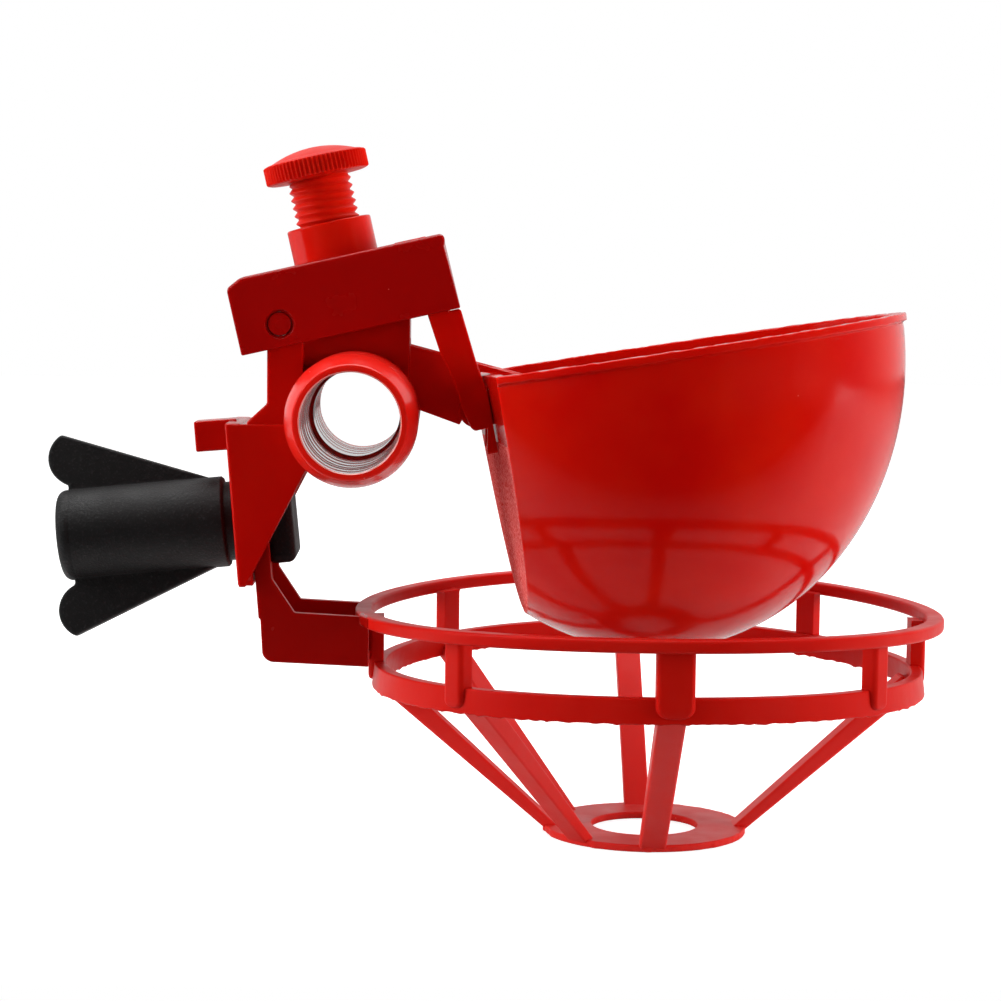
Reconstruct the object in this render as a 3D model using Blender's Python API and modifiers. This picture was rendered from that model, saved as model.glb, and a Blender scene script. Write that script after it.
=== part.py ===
"""Poultry drinking cup that clamps to cage wire: a water tee with a weighing lever, a cup and a guard basket.

Frame: metres, +X from the cage wire towards the cup, +Y away from the viewer, +Z up.
The origin lies on the clamp plate's outer face, in the middle plane, above the clamp bolt.
The lever is modelled raised, as it stands when the cup is dry.
"""
import math

import bmesh
import bpy
from mathutils import Matrix, Vector

# Clearance kept between pieces that touch, and how far a cutter runs past the face it opens
GAP = 0.0003
PAST = 0.002

# Step that keeps joined faces out of one plane
STEP = 0.00015

# Water tee, its axis along Y
TEE_X = 0.0271
TEE_Z = 0.0114
TEE_HALF = 0.0460
TEE_BORE_R = 0.0102
TEE_WALL = 0.0036
TEE_MOUTH_WALL = 0.0017
TEE_TAPER = 0.0080
STOP_RING_STEP = 0.0007
STOP_RING_HALF = 0.0035

# Hinge pin and the column that carries it
PIN_X = 0.0110
PIN_Z = 0.0308
PIN_R = 0.0025
PIN_RUN = 0.0003
COLUMN_HALF_WIDTH = 0.0143
COLUMN_LEFT = 0.0028
COLUMN_FOOT = 0.0043
KNUCKLE_R = 0.0043
COLUMN_TOP = 0.0075

# Valve chamber in the column, with the nozzle that the water comes out of
VALVE_OFFSET = 0.01425
CHAMBER_WALL = 0.0020
CHAMBER_HALF_WIDTH = 0.0112
CHAMBER_LEFT = 0.0093
CHAMBER_RIGHT = 0.0115
CHAMBER_FLOOR = 0.0122
NOZZLE_R = 0.0030
NOZZLE_TIP_R = 0.0022
NOZZLE_HEIGHT = 0.0052
ORIFICE_R = 0.0012

# Spout from the chamber to the cup
SPOUT_HALF_WIDTH = 0.0080
SPOUT_WALL = 0.0016
SPOUT_FLOOR = 0.0010
SPOUT_EDGE_ABOVE_FLOOR = 0.0028
SPOUT_SLOPE = math.radians(14.4)
SPOUT_SKIRT = 0.0131
SPOUT_REACH = 0.0250
SPOUT_TIP_DEPTH = 0.0013
SPOUT_RUN_TO_CUP = 0.0007

# Clamp plate with its triangular side plates and the peg
CLAMP_LEAN = math.radians(4.8)
CLAMP_TO_BOLT = 0.0128
BOLT_DROOP = math.radians(0.9)
CLAMP_PLATE = 0.0034
CLAMP_PLATE_UP = 0.0094
CLAMP_PLATE_DOWN = 0.0256
SIDE_PLATE = 0.0015
SIDE_PLATE_DEPTH = 0.0170
TOP_WEB = 0.0020
PEG_LENGTH = 0.0077
PEG_HEIGHT = 0.0067
PEG_BASE = 0.0031
PEG_HALF_WIDTH = 0.0040

# Lever cap, an inverted tray, in the lever's own frame with its origin on the pin
LEVER_TILT = math.radians(13.0)
CAP_WALL = 0.0022
CAP_LEFT = 0.0094
CAP_RIGHT = 0.0384
CAP_TOP = 0.0114
CAP_SKIRT = 0.0049
CAP_SIDE_RUN = 0.0004
CAP_CHAMFER_X = 0.0034
CAP_CHAMFER_Z = 0.0017
CAP_TAPER = 0.0004
PIN_RECESS_R = 0.0031
PIN_RECESS_DEPTH = 0.0006
BOSS_R = 0.0093
BOSS_HEIGHT = 0.0078

# Adjusting screw
THREAD_R = 0.00695
THREAD_DEPTH = 0.0008
THREAD_PITCH = 0.0017
SCREW_SHOWN = 0.0102
HEAD_R = 0.0114
HEAD_HEIGHT = 0.0044
HEAD_DOME = 0.0022
KNURLS = 72
KNURL_DEPTH = 0.0004
SHOULDER_Z = 0.0036
NOSE_R = 0.0038
SEAL_R = 0.0042
SEAL_THICK = 0.0020
SEAL_LIFT = 0.0003

# Lift spring
SPRING_R = 0.0057
SPRING_WIRE = 0.0012
SPRING_TURNS = 5
SPRING_STEPS = 16

# Cup, in its own frame with its origin at the rim's centre
CUP_X = 0.0897
CUP_Z = 0.0255
CUP_TILT = math.radians(9.1)
CUP_YAW = math.radians(2.6)
CUP_ROLL = math.radians(-1.4)
CUP_R = 0.0573
CUP_DEPTH = 0.0662
CUP_WALL = 0.0022
CUP_BACK = 0.0356
CUP_BACK_DRAFT = math.radians(1.6)
CUP_LIP = 0.0008
CUP_LIP_HEIGHT = 0.0016
CUP_SEGMENTS = 64
CUP_RINGS = 16

# Hanger arms, in the lever's frame
ARM_THICK = 0.0028
ARM_TOP_WIDTH = 0.0072
ARM_SPREAD = 0.0024
ARM_LENGTH = 0.0262
ARM_FOOT = 0.0055
ARM_FOOT_WIDTH = 0.0027
TAB_LENGTH = 0.0070
TAB_HALF_WIDTH = 0.0050
TAB_PROUD = 0.0004
TAB_SETBACK = 0.0040
HOOK_X = 0.0370
HOOK_Z = 0.0272
HOOK_PIN_R = 0.0018
HOOK_PLAY = 0.0004
EAR_RIM = 0.0016
EAR_WIDTH = 0.0026

# Guard basket, about its own upright axis
BASKET_X = 0.0920
BASKET_Z = -0.0817
TOP_RING_R = 0.0650
TOP_RING_WIDTH = 0.0038
TOP_RING_HEIGHT = 0.0028
TOP_RING_Z = 0.0511
LOW_RING_R = 0.0607
LOW_RING_FLARE = 0.0005
LOW_RING_WIDTH = 0.0027
LOW_RING_HEIGHT = 0.0052
LOW_RING_Z = 0.0389
RING_SEGMENTS = 72
POST_WIDTH = 0.0051
FRONT_POST_WIDTH = 0.0078
POST_LAP = 0.0008
POST_BITE = 0.0021
POST_EDGE = 0.0009
POST_FOOT = 0.0011
POST_ANGLES = (0.5, 46.5, 90, 135, 180, 227.5, 270, 315)
RIB_WIDTH = 0.0058

# Each rib's angle from the near side, in degrees, at the ring and at the disc
RIBS = ((0, 0), (90, 90), (180, 180), (-132, -126), (-90, -90), (-41, -46))
RIB_THICK = 0.0028
DISC_R = 0.0225
DISC_THICK = 0.0016
DISC_HOLE_R = 0.0118
RING_WARP = 0.0010

# Bracket that joins the basket to the clamp
BRACKET_HALF_WIDTH = 0.0133
BRACKET_WALL = 0.0022
LEG_DEPTH = 0.0036
LEG_TOP = 0.0110
ARM_BAR_TOP = -0.0314
ARM_BAR_HEIGHT = 0.0110
BRACKET_HEEL = 0.0026

# Clamp bolt and wing knob, about the bolt's axis
BOLT_R = 0.0040
BOLT_HEAD = 0.0190
BOLT_HEAD_THICK = 0.0062
BOLT_CORNER = 0.0018
BOLT_REACH = 0.0240
KNOB_COLLAR_R = 0.0087
KNOB_COLLAR = 0.0020
KNOB_R = 0.0100
KNOB_LENGTH = 0.0366
KNOB_EDGE = 0.0020
WING_TIP_R = 0.0058
WING_REACH = 0.0227
WING_OVERHANG = 0.0017
WING_ROOT = 0.0035
WING_THICK = 0.0030
KNOB_TURN = math.radians(12.0)

# Facets of small and large round shapes
FINE = 48
COARSE = 24

RED = (0.62, 0.012, 0.008, 1.0)
DEEP_RED = (0.50, 0.008, 0.006, 1.0)
BLACK = (0.012, 0.012, 0.013, 1.0)
STEEL = (0.55, 0.56, 0.57, 1.0)
RUBBER = (0.02, 0.02, 0.02, 1.0)


def clear_scene():
    for thing in list(bpy.data.objects):
        bpy.data.objects.remove(thing, do_unlink=True)


def collection(name):
    group = bpy.data.collections.new(name)
    bpy.context.scene.collection.children.link(group)
    return group


def material(name, colour, roughness, metallic=0.0):
    made = bpy.data.materials.new(name)
    made.use_nodes = True
    shader = made.node_tree.nodes["Principled BSDF"]
    shader.inputs["Base Color"].default_value = colour
    shader.inputs["Roughness"].default_value = roughness
    shader.inputs["Metallic"].default_value = metallic
    return made


def empty(name, place, turn=(0.0, 0.0, 0.0), parent=None):
    frame = bpy.data.objects.new(name, None)
    frame.location = place
    frame.rotation_euler = turn
    frame.parent = parent
    PARTS.objects.link(frame)
    return frame


def part(name, mesh, parent=None, finish=None):
    """A named piece of the object."""
    thing = bpy.data.objects.new(name, mesh)
    thing.parent = parent
    PARTS.objects.link(thing)
    if finish:
        mesh.materials.append(finish)
    return thing


def tool(name, mesh, parent=None):
    """A shape that only joins or cuts another one."""
    thing = bpy.data.objects.new(name, mesh)
    thing.parent = parent
    thing.hide_render = True
    thing.display_type = "WIRE"
    TOOLS.objects.link(thing)
    return thing


def combine(target, other, operation):
    step = target.modifiers.new(operation.title(), "BOOLEAN")
    step.operation = operation
    step.solver = "EXACT"
    step.object = other
    return step


def cut(target, *tools):
    for other in tools:
        combine(target, other, "DIFFERENCE")


def join(target, *tools):
    for other in tools:
        combine(target, other, "UNION")


def shade(mesh, degrees=35.0):
    mesh.shade_smooth()
    mesh.set_sharp_from_angle(angle=math.radians(degrees))


def box_mesh(name, low, high):
    """A box between two corners."""
    shape = bmesh.new()
    bmesh.ops.create_cube(shape, size=1.0)
    size = [b - a for a, b in zip(low, high)]
    middle = [(a + b) / 2 for a, b in zip(low, high)]
    bmesh.ops.scale(shape, vec=size, verts=shape.verts)
    bmesh.ops.translate(shape, vec=middle, verts=shape.verts)
    mesh = bpy.data.meshes.new(name)
    shape.to_mesh(mesh)
    shape.free()
    return mesh


def rod_mesh(name, start, end, radius, segments=COARSE, end_radius=None):
    """A cylinder or cone between two points."""
    start, end = Vector(start), Vector(end)
    along = end - start
    shape = bmesh.new()
    bmesh.ops.create_cone(shape, cap_ends=True, segments=segments, radius1=radius,
                          radius2=radius if end_radius is None else end_radius, depth=along.length)
    turn = Vector((0, 0, 1)).rotation_difference(along.normalized()).to_matrix().to_4x4()
    place = Matrix.Translation((start + end) / 2) @ turn
    bmesh.ops.transform(shape, matrix=place, verts=shape.verts)
    mesh = bpy.data.meshes.new(name)
    shape.to_mesh(mesh)
    shape.free()
    shade(mesh)
    return mesh


def plate_mesh(name, outline, low, high):
    """A flat outline in X and Z, given thickness along Y from low to high."""
    curve = bpy.data.curves.new(name, "CURVE")
    curve.dimensions = "2D"
    curve.fill_mode = "BOTH"
    curve.extrude = (high - low) / 2
    line = curve.splines.new("POLY")
    line.points.add(len(outline) - 1)
    for point, (x, z) in zip(line.points, outline):
        point.co = (x, z, 0.0, 1.0)
    line.use_cyclic_u = True
    flat = bpy.data.objects.new(name + "_outline", curve)
    TOOLS.objects.link(flat)
    flat.rotation_euler = (math.pi / 2, 0.0, 0.0)
    flat.location = (0.0, (low + high) / 2, 0.0)
    bpy.context.view_layer.update()
    drawn = flat.evaluated_get(bpy.context.evaluated_depsgraph_get())
    mesh = bpy.data.meshes.new_from_object(drawn)
    mesh.name = name
    mesh.transform(flat.matrix_world)
    shape = bmesh.new()
    shape.from_mesh(mesh)
    bmesh.ops.remove_doubles(shape, verts=shape.verts, dist=1e-6)
    bmesh.ops.recalc_face_normals(shape, faces=shape.faces)
    shape.to_mesh(mesh)
    shape.free()
    bpy.data.objects.remove(flat, do_unlink=True)
    return mesh


def turned_mesh(name, profile, closed=False):
    """The line that a Screw modifier turns: radius along X and height along Z, outer side top to bottom."""
    mesh = bpy.data.meshes.new(name)
    points = [(radius, 0.0, height) for radius, height in profile]
    edges = [(i, i + 1) for i in range(len(points) - 1)]
    if closed:
        edges.append((len(points) - 1, 0))
    mesh.from_pydata(points, edges, [])
    return mesh


def turn_round(thing, segments=FINE, axis="Z"):
    step = thing.modifiers.new("Screw", "SCREW")
    step.steps = segments
    step.render_steps = segments
    step.axis = axis
    step.use_merge_vertices = True
    step.merge_threshold = 1e-6
    step.use_smooth_shade = True
    return thing


def arc(centre, radius, start, end, steps):
    """Points of a round stretch, angles in degrees from +X towards +Z."""
    points = []
    for i in range(steps + 1):
        angle = math.radians(start + (end - start) * i / steps)
        points.append((centre[0] + radius * math.cos(angle), centre[1] + radius * math.sin(angle)))
    return points


def on_clamp_face(height):
    """X of the leaning clamp face at a height above the origin."""
    return -height * math.tan(CLAMP_LEAN)


def build_valve_body(frames, finish):
    tee_r = TEE_BORE_R + TEE_WALL
    mouth_r = TEE_BORE_R + TEE_MOUTH_WALL
    straight = TEE_HALF - TEE_TAPER
    profile = [(0.0, TEE_HALF), (mouth_r, TEE_HALF), (tee_r, straight),
               (tee_r, -straight), (mouth_r, -TEE_HALF), (0.0, -TEE_HALF)]
    body = part("valve_body", turned_mesh("valve_body", profile), frames["tee"], finish)
    turn_round(body)

    valve_x = PIN_X + VALVE_OFFSET
    top = PIN_Z + COLUMN_TOP
    floor = TEE_Z + CHAMBER_FLOOR
    step_x = valve_x - CHAMBER_LEFT
    left = PIN_X - COLUMN_LEFT
    web_top = CLAMP_PLATE_UP
    column = [(left, top), (step_x, top), (step_x, TEE_Z), (TEE_X, TEE_Z), (TEE_X, web_top - TOP_WEB / 2),
              (left - COLUMN_FOOT, web_top - TOP_WEB / 2), (left - COLUMN_FOOT, web_top + 2 * STEP),
              (left, web_top + COLUMN_FOOT)]
    side = COLUMN_HALF_WIDTH
    join(body, tool("column", plate_mesh("column", column, -side, side)))
    knuckle = rod_mesh("knuckle", (PIN_X, STEP - side, PIN_Z), (PIN_X, side - STEP, PIN_Z), KNUCKLE_R)
    join(body, tool("knuckle", knuckle))
    chamber_right = valve_x + CHAMBER_RIGHT + CHAMBER_WALL
    wide = CHAMBER_HALF_WIDTH
    join(body, tool("chamber", box_mesh("chamber", (step_x - CHAMBER_WALL, -wide, TEE_Z),
                                              (chamber_right, wide, top - STEP))))

    # Clamp housing: plate, two triangular side plates and the web over the basket's leg
    inner = BRACKET_HALF_WIDTH + GAP
    outer = inner + SIDE_PLATE
    low_x = on_clamp_face(-CLAMP_PLATE_DOWN)
    plate = [(on_clamp_face(web_top), web_top), (on_clamp_face(web_top) + CLAMP_PLATE, web_top),
             (low_x + CLAMP_PLATE, -CLAMP_PLATE_DOWN), (low_x, -CLAMP_PLATE_DOWN)]
    join(body, tool("clamp_plate", plate_mesh("clamp_plate", plate, STEP - outer, outer - STEP)))
    triangle = [(on_clamp_face(web_top) + STEP, web_top - STEP), (TEE_X, web_top - STEP),
                (TEE_X, TEE_Z - TEE_BORE_R), (SIDE_PLATE_DEPTH, 0.0),
                (low_x + CLAMP_PLATE / 2, -CLAMP_PLATE_DOWN - GAP), (low_x + STEP, -CLAMP_PLATE_DOWN - GAP)]
    for name, start in (("side_plate_near", -outer), ("side_plate_far", inner)):
        join(body, tool(name, plate_mesh(name, triangle, start, start + SIDE_PLATE)))
    web_side = inner + SIDE_PLATE / 2
    web = box_mesh("top_web", (on_clamp_face(web_top) + CLAMP_PLATE / 2, -web_side, web_top - TOP_WEB),
                   (TEE_X, web_side, web_top - 2 * STEP))
    join(body, tool("top_web", web))
    peg = box_mesh("peg", (-PEG_LENGTH, -PEG_HALF_WIDTH, PEG_BASE),
                   (CLAMP_PLATE / 2, PEG_HALF_WIDTH, PEG_BASE + PEG_HEIGHT))
    join(body, tool("peg", peg, frames["clamp"]))

    # Spout: two side walls and a shallow floor between them
    start_x = chamber_right - CHAMBER_WALL
    edge_z = floor + SPOUT_EDGE_ABOVE_FLOOR
    tip_x = chamber_right + SPOUT_REACH

    def edge(x):
        return edge_z - (x - chamber_right) * math.tan(SPOUT_SLOPE)

    cup_corner = frames["cup"].matrix_world @ Vector((-CUP_BACK, 0.0, 0.0))
    swing = math.hypot(cup_corner.x - PIN_X, cup_corner.z - PIN_Z) - SPOUT_RUN_TO_CUP
    clear_z = cup_corner.z + math.sin(abs(CUP_ROLL)) * SPOUT_HALF_WIDTH + SPOUT_RUN_TO_CUP
    low_z = edge(cup_corner.x) - SPOUT_SKIRT
    low_angle = math.degrees(math.asin((low_z - PIN_Z) / swing))
    high_angle = math.degrees(math.asin((clear_z - PIN_Z) / swing))
    over_wall = cup_corner.x + CUP_WALL + CUP_LIP
    skirt_edge = arc((PIN_X, PIN_Z), swing, low_angle, high_angle, 4)
    wall = [(start_x, edge(start_x)), (tip_x, edge(tip_x)), (tip_x, edge(tip_x) - SPOUT_TIP_DEPTH),
            (over_wall, clear_z)]
    wall += list(reversed(skirt_edge))
    wall += [(start_x, edge(start_x) - SPOUT_SKIRT)]
    for name, near in (("spout_near", -SPOUT_HALF_WIDTH), ("spout_far", SPOUT_HALF_WIDTH - SPOUT_WALL)):
        join(body, tool(name, plate_mesh(name, wall, near, near + SPOUT_WALL)))
    lip_z = edge(tip_x)
    bed = [(start_x, floor), (over_wall, edge(over_wall) - STEP), (tip_x - GAP, lip_z - GAP),
           (tip_x - GAP, lip_z - SPOUT_FLOOR),
           (over_wall, clear_z + STEP), (start_x, floor - 2 * SPOUT_FLOOR)]
    middle = SPOUT_HALF_WIDTH - SPOUT_WALL / 2
    join(body, tool("spout_bed", plate_mesh("spout_bed", bed, -middle, middle)))

    # Hollows: the chamber with its nozzle, the water bore, the pin hole and the bolt hole
    room = box_mesh("chamber_room", (step_x, CHAMBER_WALL - wide, floor),
                    (valve_x + CHAMBER_RIGHT, wide - CHAMBER_WALL, top + PAST))
    cut(body, tool("chamber_room", room))
    window_side = SPOUT_HALF_WIDTH - SPOUT_WALL
    window = box_mesh("chamber_window", (valve_x, -window_side, floor),
                      (chamber_right + PAST, window_side, floor + 1.5 * SPOUT_EDGE_ABOVE_FLOOR))
    cut(body, tool("chamber_window", window))
    nozzle = rod_mesh("nozzle", (valve_x, 0, floor - GAP), (valve_x, 0, floor + NOZZLE_HEIGHT), NOZZLE_R,
                      end_radius=NOZZLE_TIP_R)
    join(body, tool("nozzle", nozzle))
    orifice_top = floor + NOZZLE_HEIGHT + PAST
    orifice = rod_mesh("orifice", (valve_x, 0, TEE_Z), (valve_x, 0, orifice_top), ORIFICE_R, 12)
    cut(body, tool("orifice", orifice))
    stop = STOP_RING_HALF
    ring_r = TEE_BORE_R - STOP_RING_STEP
    end = TEE_HALF + PAST
    bore = [(0.0, end), (TEE_BORE_R, end), (TEE_BORE_R, stop), (ring_r, stop - STOP_RING_STEP),
            (ring_r, STOP_RING_STEP - stop), (TEE_BORE_R, -stop), (TEE_BORE_R, -end), (0.0, -end)]
    cut(body, turn_round(tool("water_bore", turned_mesh("water_bore", bore), frames["tee"])))
    pin_hole = rod_mesh("pin_hole", (PIN_X, -side - PAST, PIN_Z), (PIN_X, side + PAST, PIN_Z),
                        PIN_R + PIN_RUN)
    cut(body, tool("pin_hole", pin_hole))
    bolt_hole = rod_mesh("bolt_hole", (-PAST, 0, 0), (CLAMP_PLATE + PAST, 0, 0), BOLT_R + GAP)
    cut(body, tool("bolt_hole", bolt_hole, frames["bolt"]))


def cap_side():
    """Half width of the cap's hollow."""
    return COLUMN_HALF_WIDTH + CAP_SIDE_RUN


def build_lever_cap(frames, finish):
    outer = cap_side() + CAP_WALL
    shell = [(-CAP_LEFT, -CAP_SKIRT), (-CAP_LEFT, CAP_TOP - CAP_CHAMFER_Z),
             (CAP_CHAMFER_X - CAP_LEFT, CAP_TOP), (CAP_RIGHT - CAP_TAPER, CAP_TOP),
             (CAP_RIGHT, CAP_TOP - CAP_CHAMFER_Z), (CAP_RIGHT, -CAP_SKIRT)]
    cap = part("lever_cap", plate_mesh("lever_cap", shell, -outer, outer), frames["lever"], finish)
    boss = rod_mesh("boss", (VALVE_OFFSET, 0, CAP_TOP - CAP_WALL / 2),
                    (VALVE_OFFSET, 0, CAP_TOP + BOSS_HEIGHT), BOSS_R, FINE)
    join(cap, tool("boss", boss, frames["lever"]))
    ceiling = CAP_TOP - CAP_WALL
    hollow = [(CAP_WALL - CAP_LEFT, -CAP_SKIRT - PAST), (CAP_WALL - CAP_LEFT, ceiling - CAP_CHAMFER_Z / 2),
              (CAP_WALL - CAP_LEFT + CAP_CHAMFER_X / 2, ceiling), (CAP_RIGHT - CAP_WALL, ceiling),
              (CAP_RIGHT - CAP_WALL, -CAP_SKIRT - PAST)]
    cut(cap, tool("cap_hollow", plate_mesh("cap_hollow", hollow, -cap_side(), cap_side()), frames["lever"]))
    bore = rod_mesh("boss_bore", (VALVE_OFFSET, 0, 0), (VALVE_OFFSET, 0, CAP_TOP + BOSS_HEIGHT + PAST),
                    THREAD_R + GAP, FINE)
    cut(cap, tool("boss_bore", bore, frames["lever"]))
    pin_hole = rod_mesh("cap_pin_hole", (0, -outer - PAST, 0), (0, outer + PAST, 0), PIN_R + PIN_RUN)
    cut(cap, tool("cap_pin_hole", pin_hole, frames["lever"]))
    for name, way in (("recess_near", -1), ("recess_far", 1)):
        recess_floor = way * (outer - PIN_RECESS_DEPTH)
        recess = rod_mesh(name, (0, recess_floor, 0), (0, way * (outer + PAST), 0), PIN_RECESS_R)
        cut(cap, tool(name, recess, frames["lever"]))
    slot_right = CAP_RIGHT - TAB_SETBACK + GAP
    slot = box_mesh("tab_slot", (slot_right - TAB_LENGTH - 2 * GAP, -TAB_HALF_WIDTH - GAP, ceiling - PAST),
                    (slot_right, TAB_HALF_WIDTH + GAP, CAP_TOP + PAST))
    cut(cap, tool("tab_slot", slot, frames["lever"]))


def build_hinge_pin(frames, finish):
    reach = cap_side() + CAP_WALL - PIN_RECESS_DEPTH / 2
    edge = PIN_R / 6
    profile = [(0.0, reach), (PIN_R - edge, reach), (PIN_R, reach - edge),
               (PIN_R, edge - reach), (PIN_R - edge, -reach), (0.0, -reach)]
    pin = part("hinge_pin", turned_mesh("hinge_pin", profile), frames["pin"], finish)
    turn_round(pin, COARSE)


def build_adjusting_screw(frames, finish):
    boss_top = CAP_TOP + BOSS_HEIGHT
    under_head = boss_top + SCREW_SHOWN
    head_top = under_head + HEAD_HEIGHT
    dome_r = HEAD_R - 4 * KNURL_DEPTH
    thread_end = CAP_TOP - CAP_WALL
    root_r = THREAD_R - THREAD_DEPTH
    profile = [(0.0, head_top + HEAD_DOME)]
    for step in range(1, 7):
        radius = dome_r * step / 6
        profile.append((radius, head_top + HEAD_DOME * (1 - (radius / dome_r) ** 2)))
    profile.append((dome_r, under_head + GAP))
    profile.append((root_r, under_head + GAP))
    crests = int((under_head - thread_end) / THREAD_PITCH)
    for ring in range(crests):
        crest = under_head - (ring + 0.5) * THREAD_PITCH
        profile.append((root_r, crest + 0.38 * THREAD_PITCH))
        profile.append((THREAD_R, crest + 0.08 * THREAD_PITCH))
        profile.append((THREAD_R, crest - 0.08 * THREAD_PITCH))
        profile.append((root_r, crest - 0.38 * THREAD_PITCH))
    nose_end = seal_face() + SEAL_THICK
    profile += [(root_r, SHOULDER_Z), (NOSE_R, SHOULDER_Z), (NOSE_R, nose_end + GAP), (0.0, nose_end + GAP)]
    screw = part("adjusting_screw", turned_mesh("adjusting_screw", profile), frames["screw"], finish)
    turn_round(screw)
    rim = []
    for step in range(2 * KNURLS):
        radius = HEAD_R - (KNURL_DEPTH if step % 2 else 0.0)
        angle = math.pi * step / KNURLS
        rim.append((radius * math.cos(angle), radius * math.sin(angle)))
    head = plate_mesh("knurled_rim", rim, -head_top, -under_head)
    head.transform(Matrix.Rotation(math.pi / 2, 4, "X").inverted())
    join(screw, tool("knurled_rim", head, frames["screw"]))


def seal_face():
    """Height of the seal's lower face in the lever's frame: it meets the nozzle when the lever is level."""
    return TEE_Z + CHAMBER_FLOOR + NOZZLE_HEIGHT - PIN_Z + SEAL_LIFT


def build_valve_seal(frames, finish):
    low = seal_face()
    edge = SEAL_THICK / 5
    profile = [(0.0, low + SEAL_THICK), (SEAL_R - edge, low + SEAL_THICK), (SEAL_R, low + SEAL_THICK - edge),
               (SEAL_R, low + edge), (SEAL_R - edge, low), (0.0, low)]
    seal = part("valve_seal", turned_mesh("valve_seal", profile), frames["screw"], finish)
    turn_round(seal, COARSE)


def build_lift_spring(frames, finish):
    """A coil whose axis bends from the upright nozzle to the tilted screw."""
    wire = SPRING_WIRE / 2
    valve_x = PIN_X + VALVE_OFFSET
    low = Vector((valve_x, 0, TEE_Z + CHAMBER_FLOOR + wire + GAP))
    high = frames["screw"].matrix_world @ Vector((0, 0, SHOULDER_Z - wire - GAP))
    tilt = frames["screw"].matrix_world.to_quaternion()
    curve = bpy.data.curves.new("lift_spring", "CURVE")
    curve.dimensions = "3D"
    curve.bevel_depth = wire
    curve.bevel_resolution = 2
    curve.use_fill_caps = True
    count = SPRING_TURNS * SPRING_STEPS + 1
    line = curve.splines.new("POLY")
    line.points.add(count - 1)
    for step in range(count):
        share = step / (count - 1)
        turn = 2 * math.pi * step / SPRING_STEPS
        flat = Vector((SPRING_R * math.cos(turn), SPRING_R * math.sin(turn), 0))
        # The end turns lie flat, and the pitch grows towards the middle
        rise = share - math.sin(2 * math.pi * share) / (2 * math.pi)
        place = low.lerp(high, rise) + flat.lerp(tilt @ flat, rise)
        line.points[step].co = (*place, 1.0)
    spring = bpy.data.objects.new("lift_spring", curve)
    PARTS.objects.link(spring)
    curve.materials.append(finish)


def arm_outline():
    """One hanger arm seen from the side, in the lever's frame."""
    shoulder = -CAP_SKIRT - GAP
    inside_right = CAP_RIGHT - CAP_WALL - GAP
    left = CAP_RIGHT - ARM_TOP_WIDTH
    top = CAP_TOP - CAP_WALL - GAP
    low = shoulder - ARM_LENGTH
    drop = ARM_LENGTH
    foot_right = CAP_RIGHT + ARM_SPREAD - ARM_FOOT_WIDTH / 3
    return [(left, top), (inside_right, top), (inside_right, shoulder), (CAP_RIGHT, shoulder),
            (CAP_RIGHT + ARM_SPREAD / 3, shoulder - 0.44 * drop),
            (CAP_RIGHT + ARM_SPREAD, shoulder - 0.9 * drop),
            (foot_right, low - ARM_FOOT), (foot_right - ARM_FOOT_WIDTH, low - ARM_FOOT),
            (foot_right - ARM_FOOT_WIDTH / 2, low), (left + 1.9 * ARM_SPREAD, low),
            (left + 1.6 * ARM_SPREAD, low + 0.03 * drop), (left + 1.2 * ARM_SPREAD, shoulder - 0.8 * drop),
            (left + ARM_SPREAD, shoulder - 0.55 * drop), (left + ARM_SPREAD / 3, shoulder - 0.3 * drop),
            (left, shoulder)]


def arm_inner():
    """Half distance between the two arms."""
    return cap_side() - GAP - ARM_THICK


def build_cup_hanger(frames, finish):
    inner = arm_inner()
    outer = inner + ARM_THICK
    near_arm = plate_mesh("cup_hanger", arm_outline(), -outer, -inner)
    hanger = part("cup_hanger", near_arm, frames["lever"], finish)
    join(hanger, tool("arm_far", plate_mesh("arm_far", arm_outline(), inner, outer), frames["lever"]))
    top = CAP_TOP - CAP_WALL - GAP
    right = CAP_RIGHT - CAP_WALL - GAP
    left = CAP_RIGHT - ARM_TOP_WIDTH
    bar = box_mesh("hanger_bar", (left, -inner - ARM_THICK / 2, -CAP_SKIRT),
                   (right, inner + ARM_THICK / 2, top - GAP))
    join(hanger, tool("hanger_bar", bar, frames["lever"]))
    tab_right = CAP_RIGHT - TAB_SETBACK
    tab = box_mesh("hanger_tab", (tab_right - TAB_LENGTH, -TAB_HALF_WIDTH, top - ARM_THICK / 2),
                   (tab_right, TAB_HALF_WIDTH, CAP_TOP + TAB_PROUD))
    join(hanger, tool("hanger_tab", tab, frames["lever"]))
    hollow = box_mesh("bar_hollow", (left + CAP_WALL, CAP_WALL - inner, -CAP_SKIRT - PAST),
                      (right + PAST, inner - CAP_WALL, top - CAP_WALL))
    cut(hanger, tool("bar_hollow", hollow, frames["lever"]))
    for name, way in (("stub_near", -1), ("stub_far", 1)):
        stub = rod_mesh(name, (HOOK_X, way * (inner + ARM_THICK / 2), -HOOK_Z),
                        (HOOK_X, way * (inner - EAR_WIDTH - GAP), -HOOK_Z), HOOK_PIN_R)
        join(hanger, tool(name, stub, frames["lever"]))
    # The arms' right edges follow the cup's back
    room = box_mesh("cup_room", (-GAP, -CUP_R, -2 * CUP_DEPTH), (2 * CUP_R, CUP_R, CUP_LIP_HEIGHT))
    cut(hanger, tool("cup_room", room, frames["cup_back"]))


def bowl_profile(radius, depth):
    """A quarter ellipse from the rim down to the bottom."""
    points = []
    for step in range(CUP_RINGS + 1):
        angle = math.pi / 2 * step / CUP_RINGS
        points.append((radius * math.cos(angle), -depth * math.sin(angle)))
    points[-1] = (0.0, -depth)
    return points


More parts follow.
